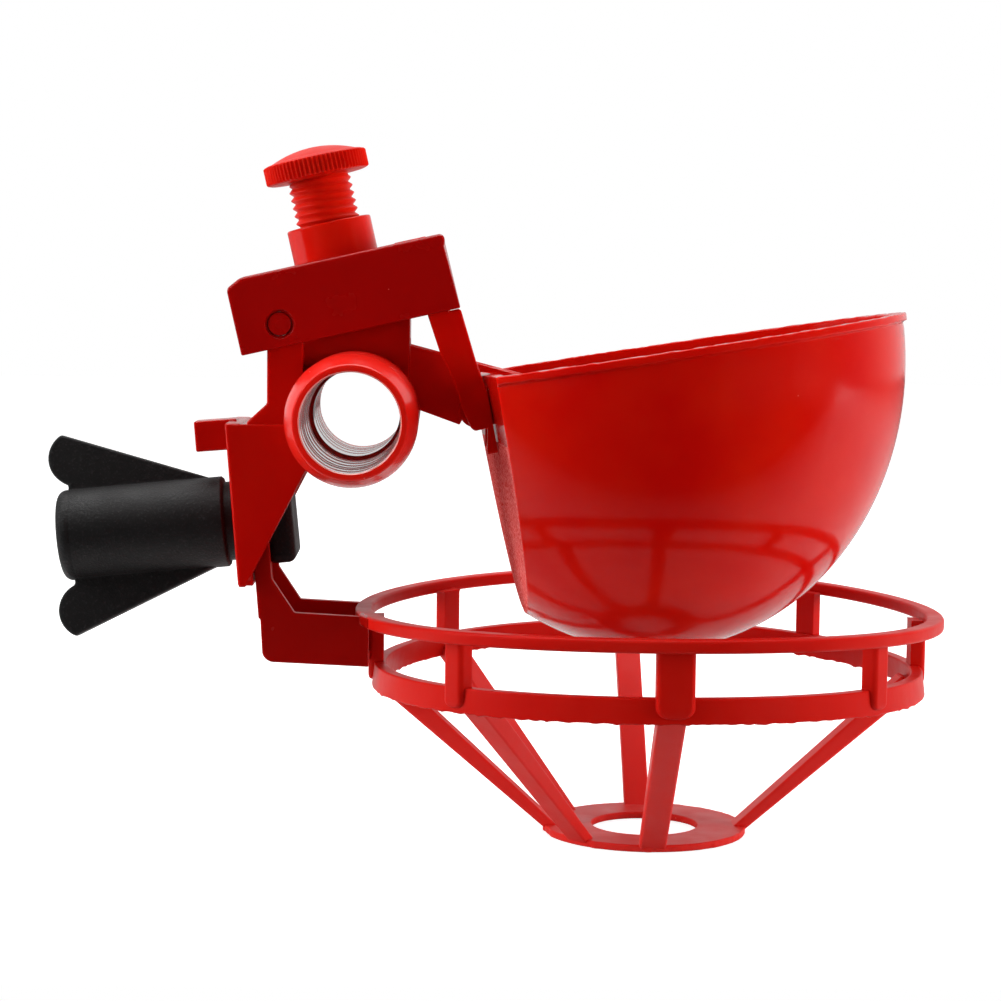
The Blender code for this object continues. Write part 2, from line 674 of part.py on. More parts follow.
def build_drinking_cup(frames, finish):
    outline = [(0.0, 0.0), (CUP_R + CUP_LIP, 0.0), (CUP_R + CUP_LIP, -CUP_LIP_HEIGHT)]
    outline += [point for point in bowl_profile(CUP_R, CUP_DEPTH) if point[1] < -CUP_LIP_HEIGHT - CUP_LIP / 2]
    cup = part("drinking_cup", turned_mesh("drinking_cup", outline), frames["cup"], finish)
    turn_round(cup, CUP_SEGMENTS)
    behind = box_mesh("behind_back", (-2 * CUP_R, -2 * CUP_R, -2 * CUP_DEPTH), (0.0, 2 * CUP_R, CUP_R))
    cut(cup, tool("behind_back", behind, frames["cup_back"]))
    hook = []
    ear_r = HOOK_PIN_R + HOOK_PLAY + EAR_RIM
    facet = CAP_RIGHT + ARM_SPREAD
    hook += [(facet, ear_r - HOOK_Z), (HOOK_X, ear_r - HOOK_Z)]
    hook += arc((HOOK_X, -HOOK_Z), ear_r, 90, 270, 8)[1:-1]
    hook += [(HOOK_X, -ear_r - HOOK_Z), (facet, -ear_r - HOOK_Z)]
    high = arm_inner() - GAP
    for name, low in (("ear_near", -high), ("ear_far", high - EAR_WIDTH + GAP)):
        join(cup, tool(name, plate_mesh(name, hook, low, low + EAR_WIDTH - GAP), frames["lever"]))
    inside = [(0.0, PAST), (CUP_R - CUP_WALL, PAST)]
    inside += bowl_profile(CUP_R - CUP_WALL, CUP_DEPTH - CUP_WALL)
    room = turn_round(tool("cup_inside", turned_mesh("cup_inside", inside), frames["cup"]), CUP_SEGMENTS)
    back = box_mesh("back_wall", (-2 * CUP_R, -2 * CUP_R, -2 * CUP_DEPTH), (CUP_WALL, 2 * CUP_R, CUP_R))
    cut(room, tool("back_wall", back, frames["cup_back"]))
    cut(cup, room)
    reach = arm_inner() + ARM_THICK
    hole = rod_mesh("ear_hole", (HOOK_X, -reach, -HOOK_Z), (HOOK_X, reach, -HOOK_Z), HOOK_PIN_R + HOOK_PLAY)
    cut(cup, tool("ear_hole", hole, frames["lever"]))


def band_mesh(name, top_r, low_r, width, high, low):
    """A ring's section, outer side first."""
    section = [(top_r, high), (low_r, low), (low_r - width, low), (top_r - width, high)]
    return turned_mesh(name, section, closed=True)


def round_the_basket(mesh, degrees):
    """Turn a piece made on the near side to its angle from the near side towards +X."""
    mesh.transform(Matrix.Rotation(math.radians(degrees), 4, "Z"))
    return mesh


def post_outside():
    """The posts stand just past the lower ring and reach into the upper one."""
    return max(TOP_RING_R - TOP_RING_WIDTH, LOW_RING_R + LOW_RING_FLARE) + POST_LAP


def post_inside():
    return min(TOP_RING_R, LOW_RING_R) - POST_BITE


def post_mesh(half, low, high):
    """An upright post on the near side, its foot's corners and its outer edges rounded."""
    foot = half * 0.6
    outline = [(-half, high), (-half, low + foot)]
    outline += arc((foot - half, low + foot), foot, 180, 270, 3)[1:]
    outline += arc((half - foot, low + foot), foot, 270, 360, 3)
    outline.append((half, high))
    mesh = plate_mesh("post", outline, -post_outside(), -post_inside())
    shape = bmesh.new()
    shape.from_mesh(mesh)
    outer = [edge for edge in shape.edges
             if all(vertex.co.y < STEP - post_outside() and vertex.co.z < high + STEP
                    for vertex in edge.verts)
             and len(edge.link_faces) == 2 and edge.calc_face_angle() > 1.0
             and not all(vertex.co.z > high - STEP for vertex in edge.verts)]
    bmesh.ops.bevel(shape, geom=outer, offset=POST_EDGE, offset_type="OFFSET", segments=2, profile=0.5,
                    affect="EDGES")
    shape.to_mesh(mesh)
    shape.free()
    return mesh


def build_guard_basket(frames, finish):
    low_z = LOW_RING_Z - LOW_RING_HEIGHT
    top_low = TOP_RING_Z - TOP_RING_HEIGHT
    low_r = LOW_RING_R + LOW_RING_FLARE
    top_band = band_mesh("top_ring", TOP_RING_R, TOP_RING_R, TOP_RING_WIDTH, TOP_RING_Z, top_low)
    rings = turn_round(tool("top_ring", top_band, frames["basket"]), RING_SEGMENTS)
    low_band = band_mesh("low_ring", LOW_RING_R, low_r, LOW_RING_WIDTH, LOW_RING_Z, low_z)
    low_ring = turn_round(tool("low_ring", low_band, frames["basket"]), RING_SEGMENTS)
    disc_band = band_mesh("disc", DISC_R, DISC_R, DISC_R - DISC_HOLE_R, DISC_THICK, 0.0)
    disc = turn_round(tool("disc", disc_band, frames["basket"]))
    join(rings, low_ring)
    for number, angle in enumerate(POST_ANGLES):
        half = (FRONT_POST_WIDTH if number == 0 else POST_WIDTH) / 2
        post = post_mesh(half, low_z + POST_FOOT, top_low + POST_EDGE / 2)
        join(rings, tool("post_%d" % number, round_the_basket(post, angle), frames["basket"]))
    rib_top = low_r - RIB_THICK
    rib_foot = DISC_R - RIB_THICK / 4
    slope = math.hypot(rib_top - rib_foot, low_z)
    lean = (rib_top - rib_foot) / slope
    across = RIB_THICK / lean
    rib_end = low_r - RIB_THICK / 4
    rib_side = [(rib_foot, GAP), (rib_foot - 0.9 * across, GAP), (rib_top - 0.45 * across, low_z + RIB_THICK),
                (rib_end, low_z + RIB_THICK / 2), (rib_end, low_z + GAP)]
    for ring_angle, disc_angle in RIBS:
        rib = plate_mesh("rib", rib_side, -RIB_WIDTH / 2, RIB_WIDTH / 2)
        for vertex in rib.vertices:
            share = (vertex.co.x - rib_foot) / (rib_top - rib_foot)
            turn = math.radians(disc_angle + (ring_angle - disc_angle) * share - 90)
            vertex.co = Matrix.Rotation(turn, 4, "Z") @ vertex.co
        join(rings, tool("rib_%d" % disc_angle, rib, frames["basket"]))
    join(rings, disc)

    # Bracket: a channel that turns up into the leg, open towards the cup
    leg_left = CLAMP_PLATE + GAP
    half = BRACKET_HALF_WIDTH
    bar_low = ARM_BAR_TOP - ARM_BAR_HEIGHT
    bar_end = BASKET_X - math.sqrt((TOP_RING_R - TOP_RING_WIDTH / 2) ** 2 - half ** 2)
    leg_top = -CLAMP_TO_BOLT + LEG_TOP
    leg_low = ARM_BAR_TOP

    def leg_x(height, depth):
        return on_clamp_face(height) + leg_left + depth

    heel_x = leg_x(bar_low, 0.0) + BRACKET_HEEL
    side = [(leg_x(leg_top, 0.0), leg_top), (leg_x(leg_top, LEG_DEPTH), leg_top),
            (leg_x(leg_low + 2 * LEG_DEPTH, LEG_DEPTH), leg_low + 2 * LEG_DEPTH),
            (leg_x(leg_low, LEG_DEPTH) + 1.2 * LEG_DEPTH, leg_low), (bar_end, ARM_BAR_TOP),
            (bar_end, bar_low)]
    side += arc((heel_x, bar_low + BRACKET_HEEL), BRACKET_HEEL, 270, 190, 5)
    bracket = tool("bracket", plate_mesh("bracket", side, -half, half))
    web = BRACKET_WALL
    hollow = [(leg_x(leg_top + PAST, web), leg_top + PAST), (BASKET_X, leg_top + PAST),
              (BASKET_X, bar_low + web), (leg_x(bar_low + web, web) + BRACKET_WALL, bar_low + web),
              (leg_x(leg_low, web), leg_low)]
    room = plate_mesh("bracket_room", hollow, web - half, half - web)
    cut(bracket, tool("bracket_room", room))
    hole = rod_mesh("leg_hole", (0, 0, 0), (leg_left + LEG_DEPTH + PAST, 0, 0), BOLT_R + GAP)
    cut(bracket, tool("leg_hole", hole, frames["bolt"]))
    join(rings, bracket)

    # The rings have warped: lower at the ends along X, higher near and far
    bpy.context.view_layer.update()
    whole = rings.evaluated_get(bpy.context.evaluated_depsgraph_get())
    mesh = bpy.data.meshes.new_from_object(whole)
    mesh.transform(rings.matrix_world)
    for vertex in mesh.vertices:
        x = vertex.co.x - BASKET_X
        distance = math.hypot(x, vertex.co.y)
        share = min(max((distance - DISC_R) / (TOP_RING_R - DISC_R), 0.0), 1.0)
        if vertex.co.x < bar_end - TOP_RING_WIDTH:
            share *= max(0.0, 1.0 - (bar_end - vertex.co.x) / (bar_end - heel_x))
        twice = 2 * math.atan2(vertex.co.y, x)
        vertex.co.z -= RING_WARP * share * math.cos(twice)
    shade(mesh)
    mesh.materials.clear()
    part("guard_basket", mesh, None, finish)


def build_clamp_bolt(frames, finish):
    half = BOLT_HEAD / 2
    head_x = CLAMP_PLATE + GAP + BRACKET_WALL + GAP + half * math.sin(BOLT_DROOP)
    head = box_mesh("clamp_bolt", (head_x, -half, -half), (head_x + BOLT_HEAD_THICK, half, half))
    bolt = part("clamp_bolt", head, frames["bolt"], finish)
    bevel = bolt.modifiers.new("Bevel", "BEVEL")
    bevel.width = BOLT_CORNER
    bevel.segments = 2
    bevel.limit_method = "ANGLE"
    shank = rod_mesh("shank", (head_x + BOLT_HEAD_THICK / 2, 0, 0), (-BOLT_REACH, 0, 0), BOLT_R)
    join(bolt, tool("shank", shank, frames["bolt"]))


def build_wing_knob(frames, finish):
    near = GAP + KNOB_COLLAR_R * math.sin(BOLT_DROOP)
    start = near + KNOB_COLLAR
    end = start + KNOB_LENGTH
    profile = [(0.0, end)]
    profile += [(KNOB_R - KNOB_EDGE + x, end - KNOB_EDGE + z) for x, z in arc((0, 0), KNOB_EDGE, 90, 0, 4)]
    profile += [(KNOB_R, start), (KNOB_COLLAR_R, start), (KNOB_COLLAR_R, near), (0.0, near)]
    knob = part("wing_knob", turned_mesh("wing_knob", profile), frames["knob"], finish)
    turn_round(knob)
    tip_z = end + WING_OVERHANG - WING_TIP_R
    tip_x = WING_REACH - WING_TIP_R
    wing = [(KNOB_R / 2, start + WING_ROOT), (KNOB_R - GAP, start + WING_ROOT)]
    wing += arc((tip_x, tip_z), WING_TIP_R, -22, 190, 10)
    wing += [(KNOB_R - KNOB_EDGE, end - KNOB_EDGE), (KNOB_R / 2, end - KNOB_EDGE)]
    for name, way in (("wing_up", 1), ("wing_down", -1)):
        outline = [(way * x, z) for x, z in wing]
        blade = plate_mesh(name, outline, -WING_THICK / 2, WING_THICK / 2)
        join(knob, tool(name, blade, frames["knob"]))
    bore = rod_mesh("knob_bore", (0, 0, -PAST), (0, 0, BOLT_REACH + PAST), BOLT_R + GAP)
    cut(knob, tool("knob_bore", bore, frames["knob"]))


def make_frames():
    quarter = math.pi / 2
    frames = {"tee": empty("tee_axis", (TEE_X, 0, TEE_Z), (quarter, 0, 0))}
    frames["clamp"] = empty("clamp_frame", (0, 0, 0), (0, -CLAMP_LEAN, 0))
    frames["lever"] = empty("lever_axis", (PIN_X, 0, PIN_Z), (0, -LEVER_TILT, 0))
    frames["pin"] = empty("pin_axis", (0, 0, 0), (quarter, 0, 0), frames["lever"])
    frames["screw"] = empty("screw_axis", (VALVE_OFFSET, 0, 0), (0, 0, 0), frames["lever"])
    frames["cup"] = empty("cup_rim", (CUP_X, 0, CUP_Z), (CUP_ROLL, -CUP_TILT, CUP_YAW))
    frames["cup_back"] = empty("cup_back", (-CUP_BACK, 0, 0), (0, -CUP_BACK_DRAFT, 0), frames["cup"])
    frames["basket"] = empty("basket_axis", (BASKET_X, 0, BASKET_Z))
    frames["bolt"] = empty("bolt_axis", (0, 0, -CLAMP_TO_BOLT), (0, -BOLT_DROOP, 0), frames["clamp"])
    outwards = empty("knob_axis", (0, 0, 0), (0, -quarter, 0), frames["bolt"])
    frames["knob"] = empty("knob_turn", (0, 0, 0), (0, 0, KNOB_TURN), outwards)
    bpy.context.view_layer.update()
    return frames


def build():
    red = material("red_plastic", RED, 0.28)
    shade_red = material("red_plastic_deep", DEEP_RED, 0.35)
    black = material("black_plastic", BLACK, 0.55)
    steel = material("spring_steel", STEEL, 0.35, 1.0)
    rubber = material("seal_rubber", RUBBER, 0.7)
    frames = make_frames()
    build_valve_body(frames, shade_red)
    build_lever_cap(frames, shade_red)
    build_hinge_pin(frames, shade_red)
    build_adjusting_screw(frames, red)
    build_valve_seal(frames, rubber)
    build_lift_spring(frames, steel)
    build_cup_hanger(frames, shade_red)
    build_drinking_cup(frames, red)
    build_guard_basket(frames, red)
    build_clamp_bolt(frames, black)
    build_wing_knob(frames, black)


clear_scene()
PARTS = collection("poultry_drinking_cup")
TOOLS = collection("cutters")
build()
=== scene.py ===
"""Looks of the poultry drinking cup: moulded surfaces, finishes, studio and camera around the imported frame.

Metres, +X from the cage wire towards the cup, +Y away from the viewer, +Z up, as in the frame.
"""
from math import acos, asin, atan, atan2, cos, degrees, hypot, pi, radians, sin, sqrt, tan

import bmesh
import bpy
from mathutils import Matrix, Vector, noise


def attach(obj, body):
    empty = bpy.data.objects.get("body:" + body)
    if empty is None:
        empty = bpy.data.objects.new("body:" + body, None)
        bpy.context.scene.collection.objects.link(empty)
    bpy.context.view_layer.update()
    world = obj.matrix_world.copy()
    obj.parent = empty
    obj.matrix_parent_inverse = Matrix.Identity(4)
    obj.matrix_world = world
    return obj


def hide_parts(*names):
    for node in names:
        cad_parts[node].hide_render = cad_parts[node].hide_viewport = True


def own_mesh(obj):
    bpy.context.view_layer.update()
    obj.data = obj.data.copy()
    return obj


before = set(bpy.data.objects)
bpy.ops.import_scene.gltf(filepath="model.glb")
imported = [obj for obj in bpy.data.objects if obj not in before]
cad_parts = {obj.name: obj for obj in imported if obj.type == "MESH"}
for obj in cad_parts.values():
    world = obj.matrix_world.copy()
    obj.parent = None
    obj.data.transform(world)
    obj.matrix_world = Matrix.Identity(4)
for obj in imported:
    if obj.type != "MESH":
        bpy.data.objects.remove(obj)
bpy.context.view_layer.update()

QUARTER = pi / 2

# Rounding of moulded edges, and how far a cutter runs past the face it opens
EDGE = 0.0004
FINE_EDGE = 0.0002
PAST = 0.002
STEP = 0.00015
GAP = 0.0003

# Segments of round shapes
BORE_SEGMENTS = 192
ROD_SEGMENTS = 96
BOSS_SEGMENTS = 128
SMALL_SEGMENTS = 48
ORIFICE_SEGMENTS = 24
RING_SEGMENTS = 288
FLASHED_SEGMENTS = 480
KNOB_SEGMENTS = 144

# Water tee, its axis along Y
TEE_X = 0.0271
TEE_Z = 0.0114
TEE_HALF = 0.0460
TEE_BORE_R = 0.0102
TEE_WALL = 0.0036
TEE_MOUTH_WALL = 0.0017
TEE_TAPER = 0.0080
MOUTH_ROUND = 0.0006
MOUTH_BULGE = 0.07
STOP_RING_STEP = 0.0007
STOP_RING_HALF = 0.0035
BORE_GROOVES = (0.0415, 0.0350, 0.0305, 0.0240, 0.0165, 0.0100)
GROOVE_DEPTH = 0.00010
GROOVE_HALF = 0.0006

# Hinge pin and the column that carries it
PIN_X = 0.0110
PIN_Z = 0.0308
PIN_R = 0.0025
PIN_RUN = 0.0003
COLUMN_HALF_WIDTH = 0.0143
COLUMN_LEFT = 0.0028
COLUMN_FOOT = 0.0043
KNUCKLE_R = 0.0043
COLUMN_TOP = 0.0075

# Valve chamber and nozzle
VALVE_OFFSET = 0.01425
CHAMBER_WALL = 0.0020
CHAMBER_HALF_WIDTH = 0.0112
CHAMBER_LEFT = 0.0093
CHAMBER_RIGHT = 0.0115
CHAMBER_FLOOR = 0.0122
NOZZLE_R = 0.0030
NOZZLE_TIP_R = 0.0022
NOZZLE_HEIGHT = 0.0052
ORIFICE_R = 0.0012

# Spout
SPOUT_HALF_WIDTH = 0.0080
SPOUT_WALL = 0.0016
SPOUT_FLOOR = 0.0010
SPOUT_EDGE_ABOVE_FLOOR = 0.0028
SPOUT_SLOPE = radians(14.4)
SPOUT_SKIRT = 0.0131
SPOUT_REACH = 0.0250
SPOUT_TIP_DEPTH = 0.0013
SPOUT_RUN_TO_CUP = 0.0007

# Clamp plate, side plates and peg
CLAMP_LEAN = radians(4.8)
CLAMP_TO_BOLT = 0.0128
BOLT_DROOP = radians(0.9)
CLAMP_PLATE = 0.0034
CLAMP_PLATE_UP = 0.0094
CLAMP_PLATE_DOWN = 0.0256
SIDE_PLATE = 0.0015
SIDE_PLATE_DEPTH = 0.0170
TOP_WEB = 0.0020
PEG_LENGTH = 0.0077
PEG_HEIGHT = 0.0067
PEG_BASE = 0.0031
PEG_HALF_WIDTH = 0.0040
FLASH = 0.0004
FLASH_SIZE = 0.0012

# Lever cap, about the pin
LEVER_TILT = radians(13.0)
CAP_WALL = 0.0022
CAP_LEFT = 0.0094
CAP_RIGHT = 0.0384
CAP_TOP = 0.0114
CAP_SKIRT = 0.0049
CAP_SIDE_RUN = 0.0004
CAP_CHAMFER_X = 0.0034
CAP_CHAMFER_Z = 0.0017
CAP_TAPER = 0.0004
CAP_ROUND = 0.0004
CAP_TOP_ROUND = 0.0012
PIN_RECESS_R = 0.0031
PIN_RECESS_DEPTH = 0.0006
BOSS_R = 0.0093
BOSS_HEIGHT = 0.0078

# Adjusting screw
THREAD_R = 0.00695
THREAD_DEPTH = 0.0008
THREAD_PITCH = 0.0017
SCREW_SHOWN = 0.0102
HEAD_R = 0.0114
HEAD_HEIGHT = 0.0044
HEAD_DOME = 0.0022
KNURLS = 72
KNURL_DEPTH = 0.0005
SHOULDER_Z = 0.0036
NOSE_R = 0.0038
SEAL_THICK = 0.0020
SEAL_LIFT = 0.0003

# Lift spring round the nozzle
SPRING_R = 0.0057
SPRING_WIRE = 0.0012
SPRING_TURNS = 5
SPRING_STEPS = 32

# Cup, about its rim's centre
CUP_X = 0.0897
CUP_Z = 0.0255
CUP_TILT = radians(9.1)
CUP_YAW = radians(2.6)
CUP_ROLL = radians(-1.4)
CUP_R = 0.0573
CUP_DEPTH = 0.0662
CUP_WALL = 0.0022
CUP_BACK = 0.0356
CUP_BACK_DRAFT = radians(1.6)
CUP_LIP = 0.0008
CUP_LIP_HEIGHT = 0.0016
CUP_LIP_ROUND = 0.0003
CUP_CORNER = 0.0007
FROST_TOP = 0.0150
CUP_BURR = 0.00016

# Size and seed of the burr's fine and wide waves
CUP_BURRS = ((0.0011, 3.0), (0.0040, 7.0))

# Hanger arms, in the lever's frame
ARM_THICK = 0.0028
ARM_TOP_WIDTH = 0.0072
ARM_SPREAD = 0.0024
ARM_LENGTH = 0.0262
ARM_FOOT = 0.0055
ARM_FOOT_WIDTH = 0.0027
TAB_LENGTH = 0.0070
TAB_HALF_WIDTH = 0.0050
TAB_PROUD = 0.0004
TAB_SETBACK = 0.0040
HOOK_X = 0.0370
HOOK_Z = 0.0272
HOOK_PIN_R = 0.0018
HOOK_PLAY = 0.0004
EAR_RIM = 0.0016
EAR_WIDTH = 0.0026

# Guard basket, about its own upright axis
BASKET_X = 0.0920
BASKET_Z = -0.0817
TOP_RING_R = 0.0650
TOP_RING_WIDTH = 0.0038
TOP_RING_HEIGHT = 0.0028
TOP_RING_Z = 0.0511
LOW_RING_R = 0.0607
LOW_RING_FLARE = 0.0005
LOW_RING_WIDTH = 0.0027
LOW_RING_HEIGHT = 0.0052
LOW_RING_Z = 0.0389
RING_ROUND = 0.0007
POST_WIDTH = 0.0051
FRONT_POST_WIDTH = 0.0078
POST_OUTER_R = 0.0620
POST_DEPTH = 0.0034
POST_EDGE = 0.0011
POST_FOOT = 0.0011
POST_FLARE = 0.0007
POST_ANGLES = (0.5, 46.5, 90, 135, 180, 227.5, 270, 315)
RIB_WIDTH = 0.0058

# Each rib's angle from the near side, in degrees, at the ring and at the disc
RIBS = ((0, 0), (90, 90), (180, 180), (-132, -126), (-90, -90), (-41, -46))
RIB_THICK = 0.0028
RIB_EDGE = 0.0005
DISC_R = 0.0225
DISC_THICK = 0.0016
DISC_HOLE_R = 0.0118
RING_WARP = 0.0010
RING_FLASH = 0.0005
RING_FLASH_SIZE = 0.0018
DISC_FLASH_SIZE = 0.0022

# Bracket that joins the basket to the clamp
BRACKET_HALF_WIDTH = 0.0133
BRACKET_WALL = 0.0022
LEG_DEPTH = 0.0036
LEG_TOP = 0.0110
LEG_STEP = 0.0004
LEG_STEP_Z = -0.0330
ARM_BAR_TOP = -0.0314
ARM_BAR_HEIGHT = 0.0110
BRACKET_HEEL = 0.0026

# Clamp bolt and wing knob, about the bolt's axis
BOLT_R = 0.0040
BOLT_HEAD = 0.0190
BOLT_HEAD_THICK = 0.0062
BOLT_CORNER = 0.0018
BOLT_REACH = 0.0240
KNOB_COLLAR_R = 0.0087
KNOB_COLLAR = 0.0020
KNOB_R = 0.0100
KNOB_LENGTH = 0.0366
KNOB_EDGE = 0.0020
KNOB_GROOVE = 0.00025
KNOB_GROOVE_PLACE = 0.0030
WING_TIP_R = 0.0062
WING_TIP_X = 0.0169
WING_OVERHANG = 0.0017
WING_ROOT = 0.0026
WING_THICK = 0.0030
WING_EDGE = 0.0007
KNOB_TURN = radians(12.0)

# Colours, linear
RED = (0.62, 0.0034, 0.0014, 1.0)
RED_WARM = (0.68, 0.0100, 0.0026, 1.0)
RED_PALE = (0.78, 0.1600, 0.1400, 1.0)
RED_BODY = (0.49, 0.0032, 0.0014, 1.0)
RED_BODY_WARM = (0.54, 0.0060, 0.0020, 1.0)
# A darker copy of the red for the cap's sides and the hinge pin: painted shade
RED_CAP_PAINTED_SHADE = (0.36, 0.0024, 0.0018, 1.0)
# A darker copy of the red for the bracket's near face: painted shade
RED_BRACKET_PAINTED_SHADE = (0.31, 0.0028, 0.0016, 1.0)
RED_BASKET = (0.55, 0.0060, 0.0030, 1.0)
RED_BASKET_PALE = (0.60, 0.0120, 0.0070, 1.0)
# A brighter copy of the red for the ribs and disc: painted light where they are lit from behind
RED_RIB_PAINTED_LIGHT = (0.74, 0.0220, 0.0160, 1.0)
# A brighter copy of the red for the tee's ends and the spout: painted light
RED_TEE_PAINTED_LIGHT = (0.78, 0.0120, 0.0060, 1.0)
# Pale pink for the inside of the bore: a painted reflection of the white surroundings
BORE_PAINTED_REFLECTION = (0.95, 0.3000, 0.2700, 1.0)
# The frosted back's red and its paler grain: painted sheen
RED_GROUND_PAINTED_SHEEN = (0.60, 0.0240, 0.0200, 1.0)
RED_GROUND_PALE_PAINTED_SHEEN = (0.88, 0.2700, 0.2500, 1.0)
BLACK = (0.0062, 0.0058, 0.0060, 1.0)
BLACK_WORN = (0.0300, 0.0280, 0.0285, 1.0)
STEEL = (0.56, 0.57, 0.58, 1.0)
STEEL_DULL = (0.42, 0.43, 0.44, 1.0)
RUBBER = (0.015, 0.015, 0.015, 1.0)
RUBBER_DUSTY = (0.035, 0.034, 0.033, 1.0)
FLOOR = (0.62, 0.62, 0.62, 1.0)
FLOOR_SHADED = (0.60, 0.60, 0.60, 1.0)
# Painted shade on the floor in front of the basket
FLOOR_PAINTED_SHADE = (0.02, 0.02, 0.02, 1.0)
WHITE = (1.0, 1.0, 1.0, 1.0)

# Scale of each finish's grain, and the look of its surface
CLOUD_GRAIN = 45.0
HAZE_GRAIN = 160.0
PEEL_GRAIN = 700.0
FINE_GRAIN = 4200.0
FROST_GRAIN = 1500.0
PIT_GRAIN = 1900.0
WEAR_GRAIN = 140.0
WIRE_GRAIN = 900.0
RUBBER_GRAIN = 1600.0
PAPER_GRAIN = 20.0
DUST_GRAIN = 230.0
DUST_SIZE = 0.050
PEEL_DEPTH = 0.0002
PIT_DEPTH = 0.0003
RED_ROUND = 0.00035
BLACK_ROUND = 0.0005
PLASTIC_IOR = 1.5

# Places of the colours among a mix node's inputs and outputs
MIX_FIRST = 6
MIX_SECOND = 7
MIX_RESULT = 2

# Light around the part: strengths, the way the dark side lies, and where the change starts and ends
DARK_SIDE = 0.006
BRIGHT_SIDE = 0.72
DARK_TOWARDS = (-0.16, -0.96, -0.20)
BRIGHT_FROM = -0.90
DARK_FROM = -0.10

# Floor: where its painted shade in front starts, its own light for the camera, and its extent
FADE_FROM = 0.055
FLOOR_LIFT = 0.86
FLOOR_HALF = 1.5
FLOOR_FRONT = 0.125

# Camera: pixels of the photograph, then radians and metres
FOCAL = 2446.84
IMAGE = 1001
VANISH_X = 435.0
VANISH_Y = 295.0
CAMERA_ROLL = 0.0117
CAMERA_PLACE = (0.04449, -0.53975, 0.03749)


# Shapes

def placed(name, data):
    """An object in the scene for a mesh, curve, lamp or lens."""
    thing = bpy.data.objects.new(name, data)
    bpy.context.scene.collection.objects.link(thing)
    return thing


def made(name, shape):
    """An object from a bmesh."""
    mesh = bpy.data.meshes.new(name)
    shape.to_mesh(mesh)
    shape.free()
    return placed(name, mesh)


def soften(shape, edge, segments=3, sharper_than=30.0):
    """Round every edge that is sharper than an angle in degrees."""
    sharp = [line for line in shape.edges
             if len(line.link_faces) == 2 and line.calc_face_angle() > radians(sharper_than)]
    bmesh.ops.bevel(shape, geom=sharp, offset=edge, offset_type="OFFSET", segments=segments, profile=0.5,
                    affect="EDGES", clamp_overlap=True)


def plate(outline, low, high, edge=EDGE):
    """A flat outline in X and Z, given thickness along Y from low to high, with rounded edges."""
    shape = bmesh.new()
    near = [shape.verts.new((x, low, z)) for x, z in outline]
    far = [shape.verts.new((x, high, z)) for x, z in outline]
    shape.faces.new(near)
    shape.faces.new(list(reversed(far)))
    for i in range(len(outline)):
        j = (i + 1) % len(outline)
        shape.faces.new((near[j], near[i], far[i], far[j]))
    bmesh.ops.recalc_face_normals(shape, faces=shape.faces)
    if edge:
        soften(shape, edge)
    return shape


def block(low, high, edge=EDGE, segments=3):
    """A box between two corners, with rounded edges."""
    shape = bmesh.new()
    bmesh.ops.create_cube(shape, size=1.0)
    bmesh.ops.scale(shape, vec=[b - a for a, b in zip(low, high)], verts=shape.verts)
    bmesh.ops.translate(shape, vec=[(a + b) / 2 for a, b in zip(low, high)], verts=shape.verts)
    if edge:
        soften(shape, edge, segments)
    return shape


def rod(start, end, radius, edge=0.0, segments=ROD_SEGMENTS, end_radius=None):
    """A round bar or cone between two points."""
    start, end = Vector(start), Vector(end)
    along = end - start
    shape = bmesh.new()
    bmesh.ops.create_cone(shape, cap_ends=True, segments=segments, radius1=radius,
                          radius2=radius if end_radius is None else end_radius, depth=along.length)
    if edge:
        soften(shape, edge, 3, 60.0)
    turn = Vector((0, 0, 1)).rotation_difference(along.normalized()).to_matrix().to_4x4()
    bmesh.ops.transform(shape, matrix=Matrix.Translation((start + end) / 2) @ turn, verts=shape.verts)
    return shape


def skin(loops, closed=False, ends=False):
    """A surface over loops of points, with no doubled points left."""
    shape = bmesh.new()
    rings = [[shape.verts.new(point) for point in loop] for loop in loops]
    if ends:
        shape.faces.new(rings[0])
        shape.faces.new(list(reversed(rings[-1])))
    pairs = list(zip(rings, rings[1:]))
    if closed:
        pairs.append((rings[-1], rings[0]))
    for above, below in pairs:
        for i in range(len(above)):
            j = (i + 1) % len(above)
            shape.faces.new((above[i], above[j], below[j], below[i]))
    bmesh.ops.remove_doubles(shape, verts=shape.verts, dist=1e-7)
    bmesh.ops.dissolve_degenerate(shape, edges=shape.edges, dist=1e-8)
    bmesh.ops.recalc_face_normals(shape, faces=shape.faces)
    return shape


def lathe(profile, segments, closed=False):
    """A profile of radius and height turned about Z. Points of zero radius close it."""
    angles = [2 * pi * i / segments for i in range(segments)]
    return skin([[(radius * cos(angle), radius * sin(angle), height) for angle in angles]
                 for radius, height in profile], closed)


def both_ways(half):
    """A profile's upper half and its mirror image below."""
    return half + [(radius, -height) for radius, height in reversed(half)]


def moved(shape, matrix):
    bmesh.ops.transform(shape, matrix=matrix, verts=shape.verts)
    return shape


def final_mesh(thing):
    """A piece's mesh with its modifiers, or its curve's thickness, applied."""
    bpy.context.view_layer.update()
    return bpy.data.meshes.new_from_object(thing.evaluated_get(bpy.context.evaluated_depsgraph_get()))


def settle(thing):
    """Apply a piece's modifiers."""
    mesh = final_mesh(thing)
    thing.modifiers.clear()
    thing.data = mesh


def combine(thing, operation, shapes):
    """Join or cut a piece with other shapes."""
    others = [made("tool", shape) for shape in shapes]
    for other in others:
        step = thing.modifiers.new("step", "BOOLEAN")
        step.operation = operation
        step.solver = "EXACT"
        step.object = other
    settle(thing)
    for other in others:
        bpy.data.objects.remove(other, do_unlink=True)


def join(thing, *shapes):
    combine(thing, "UNION", shapes)


def cut(thing, *shapes):
    combine(thing, "DIFFERENCE", shapes)


